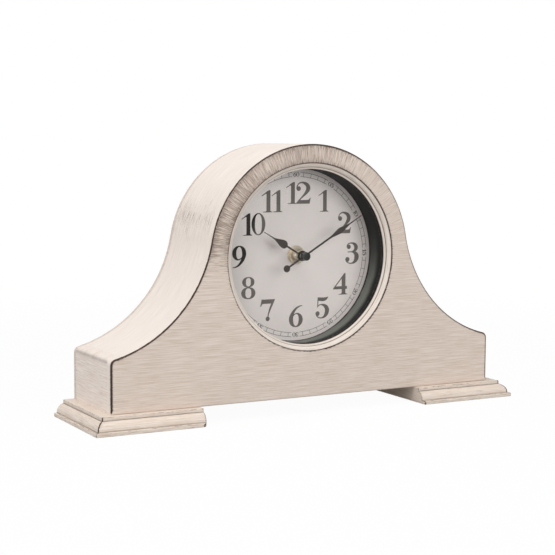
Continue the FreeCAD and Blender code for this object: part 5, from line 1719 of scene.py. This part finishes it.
# ---------------------------------------------------------------- hands and their fixings
@dataclass
class Hand:
    """A stamped hand: a flat blade whose half width is a function of the distance along it, and its bore."""

    name: str
    place: Place
    finish: Material
    front: float
    angle: float
    boss: float
    bore: float
    tip: float
    thick: float = 0.5
    stem: float = 0.75
    soft: float = 0.12
    needle_half: float = 0.5

    # the middle and radius of the disc that the hand carries, in its tail or as its bulb
    disc_centre: float = 0.0
    disc_radius: float = 0.0

    # points across the bore, the boss and the disc, and along the whole hand
    counts: tuple = (17, 33, 33, 160)

    def blade(self, along: Array) -> Array:
        """Half width of the blade without its boss."""
        raise NotImplementedError

    def circle(self, along: Array, centre: float, radius: float) -> Array:
        """Half width of a disc, nothing outside it."""
        return np.sqrt(np.maximum(radius ** 2 - (along - centre) ** 2, 0.0))

    def needle(self, along: Array, start: float) -> Array:
        """Half width of the needle, which narrows evenly to half of it at the tip."""
        return np.interp(along, [start, self.tip], [self.needle_half, self.needle_half / 2])

    def places(self) -> Array:
        """Distances along the hand, close together where its width changes fast.

        Returns:
            The distances from the axis, negative in the tail.
        """
        tail = min(-self.boss, self.disc_centre - self.disc_radius)
        rounds = ((0.0, self.bore), (0.0, self.boss), (self.disc_centre, self.disc_radius))
        near = [centre - radius * np.cos(np.linspace(0, np.pi, count))
                for (centre, radius), count in zip(rounds, self.counts)]
        along = np.unique(np.round(np.concatenate([*near, np.linspace(tail, self.tip, self.counts[-1])]), 5))
        return along[(along >= tail - 1e-9) & (along <= self.tip + 1e-9)]

    def build(self) -> None:
        """Cuts the blade: a left and a right half from the bore or the middle line out to the edge."""
        along = self.places()
        wide = np.maximum(self.blade(along), self.circle(along, 0.0, self.boss))
        hole = self.circle(along, 0.0, self.bore)
        eased = np.minimum(self.soft, wide * 0.4)
        front, back = self.front, self.front + self.thick
        bored = np.flatnonzero(np.abs(along) <= self.bore + 1e-6)
        work = Patchwork()
        ends = []
        for side in (-1.0, 1.0):
            rows = [(hole, front), (np.maximum(wide - eased, hole), front),
                    (wide, front + self.soft * (eased > 0)), (wide, back), (hole, back)]
            grid = np.stack([self.turned_to(side * across, along, depth) for across, depth in rows])
            work.sheet(grid).sheet(grid[[0, -1]][:, bored])
            ends.append(grid[:, -1])
        work.sheet(np.stack(ends))
        set_up(self.name, work, self.place, self.finish)

    def turned_to(self, across: Array, along: Array, depth: Array | float) -> Array:
        """Places points of the upright hand at its angle, clockwise from twelve.

        Args:
            across: places across the hand, mm.
            along: places along it from its axis.
            depth: their depth.

        Returns:
            (n, 3) points.
        """
        turn = math.radians(self.angle)
        x = across * math.cos(turn) + along * math.sin(turn)
        return joined(x, depth, along * math.cos(turn) - across * math.sin(turn) + DIAL_HEIGHT)


@dataclass
class MinuteHand(Hand):
    """The long hand: stem, slim leaf, needle, and a tail with a disc."""

    leaf_start: float = 28.0
    leaf_widest: float = 39.0
    leaf_overlap: float = 0.5
    leaf_end: float = 50.5
    leaf_half: float = 2.3
    disc_centre: float = -18.8
    disc_radius: float = 2.9

    def blade(self, along: Array) -> Array:
        """Stem, then soft rises and falls between stem, leaf and needle.

        Args:
            along: places along the hand.

        Returns:
            Half widths.
        """
        rise = smooth_step(along, self.leaf_start, self.leaf_widest)
        rise = self.stem + (self.leaf_half - self.stem) * rise
        fall = 1 - smooth_step(along, self.leaf_widest - self.leaf_overlap, self.leaf_end)
        fall = self.needle_half + (self.leaf_half - self.needle_half) * fall
        half = np.where(along < self.leaf_widest, rise, np.minimum(fall, rise))
        half = np.where(along > self.leaf_end, self.needle(along, self.leaf_end), half)
        half = np.where(along < self.disc_centre, 0.0, half)
        return np.maximum(half, self.circle(along, self.disc_centre, self.disc_radius))


@dataclass
class HourHand(Hand):
    """The short hand: stem, round bulb, and a long point drawn out of it."""

    disc_centre: float = 19.6
    disc_radius: float = 3.3
    drawn_end: float = 31.0

    def blade(self, along: Array) -> Array:
        """Stem up to the bulb's circle; past its middle the width falls softly to the needle.

        Args:
            along: places along the hand.

        Returns:
            Half widths.
        """
        bulb = self.circle(along, self.disc_centre, self.disc_radius)
        fall = 1 - smooth_step(along, self.disc_centre, self.drawn_end)
        fall = self.needle_half + (self.disc_radius - self.needle_half) * fall
        past = np.where(along < self.drawn_end, fall, self.needle(along, self.drawn_end))
        before = np.where(along < 0, 0.0, np.maximum(self.stem, bulb))
        return np.where(along < self.disc_centre, before, past)


@dataclass
class Fixings:
    """Cap nut, hexagon nut, washer and threaded sleeve in the middle of the dial."""

    cap: Material
    brass: Material

    # facets round the cap and washer, the hexagon nut and the sleeve, and rows of points along the thread
    facets: int = 96
    nut_facets: int = 144
    sleeve_facets: int = 72
    thread_rows: int = 80

    # radii, depths, the rim's rounding and the cut at the back edge of the cap
    cap_radius: float = 3.45
    cap_front: float = 9.7
    cap_back: float = 13.9
    cap_bore: float = 1.22
    cap_round: float = 1.0
    cap_cut: float = 0.15

    # the hexagon nut: over its flats, depths, how far a cone takes its corners off, and its chamfered bore
    nut_flats: float = 12.0
    nut_front: float = 25.7
    nut_back: float = 28.1
    nut_chamfer: float = 0.7
    nut_lip: float = 0.05
    nut_face: float = 5.0
    nut_bore: float = 3.72
    nut_cut: float = 0.35

    washer_radius: float = 7.8
    washer_bore: float = 3.75
    washer_soft: float = 0.12

    # the sleeve: radii and depths of thread and collar, and the thread's pitch and depth
    sleeve_radius: float = 3.7
    sleeve_bore: float = 2.55
    sleeve_front: float = 21.9
    sleeve_cut: float = 0.3
    collar_radius: float = 5.0
    collar_front: float = 31.6
    collar_back: float = 32.2
    crest_flat: float = 0.02
    pitch: float = 0.75
    thread_deep: float = 0.4

    def cap_nut(self) -> None:
        """The round cap: a flat face, a rounded rim, a straight side and the blind bore."""
        radius, soft, bore = self.cap_radius, self.cap_round, self.cap_bore
        front, back = self.cap_front, self.cap_back
        rim = round_run((radius - soft, front + soft), soft, 270, 360, 9)
        profile = bent((0.0, front), (radius - soft, front, 6), rim, (radius, back - self.cap_cut, 4),
                       (radius - self.cap_cut, back, 2), (bore, back, 3), (bore, front + soft, 3),
                       (0, front + soft, 2))
        place = Place("cap_black", ("cap_nut",), Body.MINUTE)
        set_up("cap_nut_black", Patchwork().sheet(turned(profile, self.facets)), place, self.cap)

    def brass_piece(self, name: str, node: str, rows: list[tuple], facets: int) -> None:
        """Stacks circles into a piece of turned brass.

        Args:
            name: the piece's name.
            node: the CAD node that it stands for.
            rows: radius and depth of each circle; a radius may change with the angle.
            facets: how many facets go round.
        """
        angle = np.linspace(0, FULL_TURN, facets + 1)
        work = Patchwork().sheet(np.stack([around(radius, depth, angle) for radius, depth in rows]))
        set_up(name, work, Place("brass", (node,)), self.brass)

    def hex_nut(self) -> None:
        """The nut: six flats cut by a cone that takes off the corners in front, and a chamfered bore.

        In each sixth of the turn the radius is half the distance over the flats over the cosine of the angle
        from the flat's middle.
        """
        front, back, bore, half = self.nut_front, self.nut_back, self.nut_bore, self.nut_flats / 2
        sector = (np.linspace(0, FULL_TURN, self.nut_facets + 1) + np.pi / 6) % (np.pi / 3) - np.pi / 6
        hexagon = half / np.cos(np.pi / 6 - np.abs(sector))
        cone = half / math.cos(math.pi / 6) - self.nut_chamfer
        face = np.minimum(hexagon - self.nut_lip, cone)
        corners = front + self.nut_lip + np.maximum(hexagon - cone, 0.0)
        chamfer = (bore, front + self.nut_cut)
        rows = [chamfer, (bore + self.nut_cut, front), (self.nut_face, front), (face, front),
                (hexagon, corners), (hexagon, back), (bore, back), chamfer]
        self.brass_piece("hex_nut_brass", "hex_nut", rows, self.nut_facets)

    def washer(self) -> None:
        """The washer, with the soft front edge of a stamping."""
        radius, bore, soft = self.washer_radius, self.washer_bore, self.washer_soft
        edge = round_run((radius - soft, self.nut_back + soft), soft, 270, 360, 5)
        profile = bent((bore, self.nut_back), (radius - soft, self.nut_back, 5), edge,
                       (radius, DIAL_DEPTH, 2), (bore, DIAL_DEPTH, 3), (bore, self.nut_back, 2))
        self.brass_piece("washer_brass", "brass_washer", list(profile), self.facets)

    def sleeve(self) -> None:
        """The threaded sleeve: the radius falls with the distance from the crest of a helix of the pitch."""
        front, end, back, bore = self.sleeve_front, self.collar_front, self.collar_back, self.sleeve_bore
        crest = self.sleeve_radius - self.crest_flat
        turns = np.linspace(0, 1, self.sleeve_facets + 1)
        depth = np.linspace(front + 0.25, end - 0.2, self.thread_rows)[:, None]
        phase = ((depth - front) / self.pitch - turns) % 1.0
        fade = smooth_step(np.minimum(depth - front, end - depth), 0.1, 0.6)
        thread = crest - self.thread_deep * (1 - 2 * np.abs(phase - 0.5)) * fade
        collar = self.collar_radius
        rows = [(bore, front), (self.sleeve_radius - self.sleeve_cut, front), *zip(thread, depth),
                (crest, end), (collar, end), (collar, back), (bore, back), (bore, front)]
        self.brass_piece("sleeve_threaded_brass", "threaded_bushing", rows, self.sleeve_facets)

    def build(self) -> None:
        """Makes all four."""
        self.cap_nut()
        self.hex_nut()
        self.washer()
        self.sleeve()


# ---------------------------------------------------------------- battery
@dataclass
class Cell:
    """The AA cell: a steel can with a plus nub, in a shrunk sleeve that is turned in over both ends."""

    sleeve: Material
    steel: Material
    depth: float = 39.7
    height: float = DIAL_HEIGHT - 25.5
    radius: float = 7.1
    skin: float = 0.12
    turned_in: float = 1.3
    rim_round: float = 0.6
    flat_end: float = -25.25
    dish: float = 0.15
    dish_radii: tuple = (3.4, 3.8)
    shoulder: float = 23.95
    nub_end: float = 25.25
    nub: float = 2.75
    nub_foot: float = 0.5
    nub_round: float = 0.3
    facets: int = 64

    def build(self) -> None:
        """Turns the profile about the cell's own axis, which runs along x."""
        flat, end, nub, tip = self.flat_end, self.shoulder, self.nub, self.nub_end
        can, rim, foot, soft = self.radius - self.skin, self.rim_round, self.nub_foot, self.nub_round
        hem = can - self.turned_in
        bottom = bent((flat + self.dish, 0), (flat + self.dish, self.dish_radii[0], 3),
                      (flat, self.dish_radii[1], 2), (flat, hem, 3))
        near, far = (round_run((x, self.radius - rim), rim, *turn, 6)
                     for x, turn in ((flat + rim, (180, 90)), (end - rim, (90, 0))))
        sleeve = bent((flat, hem), (flat, can - rim, 2), near, (end - rim, self.radius, 24), far,
                      (end, hem, 2))
        top = bent((end, hem), (end, nub + foot, 3), round_run((end + foot, nub + foot), foot, 180, 270, 5),
                   (tip - soft, nub, 2), round_run((tip - soft, nub - soft), soft, 90, 0, 4), (tip, 0, 3))
        work = Patchwork()
        angle = np.linspace(0, FULL_TURN, self.facets + 1)
        for finish, profile in ((1, bottom), (0, sleeve), (1, top)):
            x, radius = profile[:, :1], profile[:, 1:]
            grid = joined(x, self.depth + radius * np.sin(angle), self.height + radius * np.cos(angle))
            work.sheet(grid, finish=finish)
        place = Place("battery_sleeve", ("battery",), Body.BATTERY)
        set_up("battery_cell", work, place, self.sleeve, self.steel)


# ---------------------------------------------------------------- finishes
PLAIN_FINISHES = (
    # softly fibrous brown board: small pale and dark flecks, quite matt
    PlainFinish("bare_fibreboard_sawn", "#A98D6B", "#86694A", 0.85, 0.05, (1.6, 1.6, 0.5)),
    # pale softwood with long soft rings, sawn
    PlainFinish("softwood_blocks_sawn", "#CBA678", "#A67F50", 0.75, 0.05, (0.8, 14.0, 0.8)),
    # satin silver grey card with faint mottling; it is paler everywhere but at its left edge, a painted
    # reflection of the light from the front
    PlainFinish("silver_grey_printed_card", "#DDD4D1", "#D4CAC6", 0.28, 0.004, 0.7, 20.0, rough_swing=0.04,
                painted_sheen="#F0E5E3", painted_sheen_span=(-0.066, -0.036)),
    # screen printing ink: near black on the left, and grey elsewhere, where its satin film carries a painted
    # reflection of the light from the front
    PlainFinish("black_screen_printing_ink", "#2E2825", "#241F1C", 0.24, 0.004, 0.35, rough_swing=0.04,
                painted_sheen="#716965", painted_sheen_lean=-0.3),
    # matt speckled black coating on stamped aluminium
    PlainFinish("black_coated_stamped_aluminium", "#473C37", "#241D1A", 0.5, 0.02, 0.35, grain_tint=0.7),
    # turned cap with a soft black gloss
    PlainFinish("black_lacquer_on_turned_cap", "#363634", "#222221", 0.22, 0.004, 0.5, rough_swing=0.05),
    # bright turned brass with fine tool lines
    PlainFinish("brass_turned_bright", "#F0E5D6", "#CFBAA2", 0.36, 0.004, (1.2, 0.12, 1.2), 5.0,
                metallic=1.0),
    # zinc: cold grey metal with small spangle
    PlainFinish("zinc_plated_steel", "#C9CACB", "#A9ABAE", 0.3, 0.004, 0.3, 2.0, metallic=1.0),
    # soft grey black rubber, dusty
    PlainFinish("black_rubber_moulded", "#1C1C1C", "#121212", 0.85, 0.02),
    # milky white moulding that is a little glossy
    PlainFinish("white_acetal_moulded", "#E6E4DC", "#D9D6CC", 0.38, 0.004),
    # turned steel pin
    PlainFinish("steel_turned_pins", "#B9BABC", "#9D9FA2", 0.25, 0.003, (1.0, 0.1, 1.0), metallic=1.0),
    # sintered magnet: dark, dull, fine-grained
    PlainFinish("sintered_magnet", "#4A4A4D", "#37373A", 0.55, 0.01),
    # black moulded plastic with the fine texture of a spark-eroded mould
    PlainFinish("black_plastic_spark_textured", "#1D1D1F", "#141415", 0.55, 0.04, 0.45),
    # black moulded knob, smoother than the shell
    PlainFinish("black_plastic_moulded_knob", "#202021", "#161617", 0.4, 0.01),
    # stamped silicon steel: grey with rolling lines
    PlainFinish("silicon_steel_stamped", "#9B9CA0", "#7F8185", 0.4, 0.004, (3.0, 0.2, 0.2), metallic=1.0),
    # hundreds of turns of enamelled wire: fine lines round the coil
    PlainFinish("enamelled_copper_winding", "#B4602F", "#7C3A18", 0.3, 0.05, (0.12, 4.0, 4.0), grain_tint=0.8,
                coat=0.5),
    # green resin board under its varnish, with the weave showing
    PlainFinish("green_resin_board_varnished", "#2C6B40", "#1E5230", 0.3, 0.01, 0.5),
    # a cast drop of black resin
    PlainFinish("black_resin_cast_drop", "#111111", "#0A0A0A", 0.3, 0.01),
    # shrunk printed sleeve of a plain cell: graphite with a satin gloss
    PlainFinish("graphite_sleeve_shrunk", "#4C5157", "#42474D", 0.28, 0.006, cloud_mm=20.0),
    # nickel plated spring strip: pale warm grey
    PlainFinish("nickel_plated_strip", "#CFCBC2", "#B4AFA4", 0.22, 0.003, (2.0, 0.15, 2.0), metallic=1.0),
)

# which CAD nodes that are kept as they are take which finish
NODES_BY_FINISH = {
    "back_board_black_inside_cream_rim": ("back_panel",),
    "bare_fibreboard_sawn": ("bottom_board",),
    "softwood_blocks_sawn": ("glue_blocks",),
    "zinc_plated_steel": ("foot_screws", "back_panel_screws", "dial_pan_screws"),
    "black_rubber_moulded": ("rubber_washer",),
    "white_acetal_moulded": ("hour_wheel", "motion_wheel", "third_wheel", "second_wheel",
                             "intermediate_wheel", "coil_bobbin"),
    "brass_turned_bright": ("centre_wheel",),
    "steel_turned_pins": ("minute_arbor", "quartz_crystal"),
    "sintered_magnet": ("rotor",),
    "black_plastic_moulded_knob": ("setting_knob",),
    "black_plastic_spark_textured": ("movement_front", "movement_back"),
    "silicon_steel_stamped": ("stator", "coil_core"),
    "enamelled_copper_winding": ("coil_winding",),
    "green_resin_board_varnished": ("circuit_board",),
    "black_resin_cast_drop": ("board_chip",),
    "nickel_plated_strip": ("plus_contact", "minus_contact"),
}


def dress_frame_nodes(finishes: dict[str, Material]) -> None:
    """Gives each CAD node that is kept the finish of its real material.

    Args:
        finishes: the finishes by name.
    """
    for finish, nodes in NODES_BY_FINISH.items():
        for node in nodes:
            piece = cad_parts[node]
            piece.data.materials.clear()
            piece.data.materials.append(finishes[finish])
            LOG.info("%s: %s", node, finish)


def main() -> None:
    """Builds the studio and every sub-assembly in order."""
    logging.basicConfig(level=logging.INFO, format="%(message)s")
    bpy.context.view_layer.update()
    Studio().build()
    finishes = {finish.name: finish.make() for finish in (*PLAIN_FINISHES, BackBoardPaint())}
    # one cream paint in five tones; the end boards' paler tone partly paints the light that falls on that side
    paints = [kind.make() for kind in (
        BrushedPaint("cream_emulsion_brushed_on_front", "#E2D5CB", "#CFBDAF"),
        BrushedPaint("cream_emulsion_brushed_along_band", "#F1E8E0", "#E4D7CD", streak_start=0.70),
        BrushedPaint("cream_emulsion_brushed_on_end", "#F4EAE2", "#DECFC4", cloud_mm=(30.0, 18.0, 9.0),
                     streak_start=0.63),
        BrushedPaint("cream_emulsion_brushed_on_moulding", "#E6DACF", "#D2C2B3", line_mm=1.0, cloud_mm=16.0),
        BrushedPaint("cream_emulsion_on_turned_ring", "#EDE3DA", "#DDD0C4", streak_share=0.4),
    )]
    Case(*paints[:4], finishes["bare_fibreboard_sawn"]).build()
    DialSide(paints[4], FloatGlass().make(), PanEnamel().make(), finishes["silver_grey_printed_card"]).build()
    DialPrint(finishes["black_screen_printing_ink"]).build()
    black = finishes["black_coated_stamped_aluminium"]
    MinuteHand("minute_hand_leaf", Place("hand_black", ("minute_hand",), Body.MINUTE), black, front=13.9,
               angle=59.3, boss=3.7, bore=1.22, tip=62.55).build()
    HourHand("hour_hand_drop", Place("hand_black", ("hour_hand",), Body.HOUR), black, front=17.4,
             angle=-60.0, boss=4.3, bore=2.52, tip=40.5).build()
    Fixings(finishes["black_lacquer_on_turned_cap"], finishes["brass_turned_bright"]).build()
    Cell(finishes["graphite_sleeve_shrunk"], finishes["zinc_plated_steel"]).build()
    dress_frame_nodes(finishes)


if __name__ == "__main__":
    main()
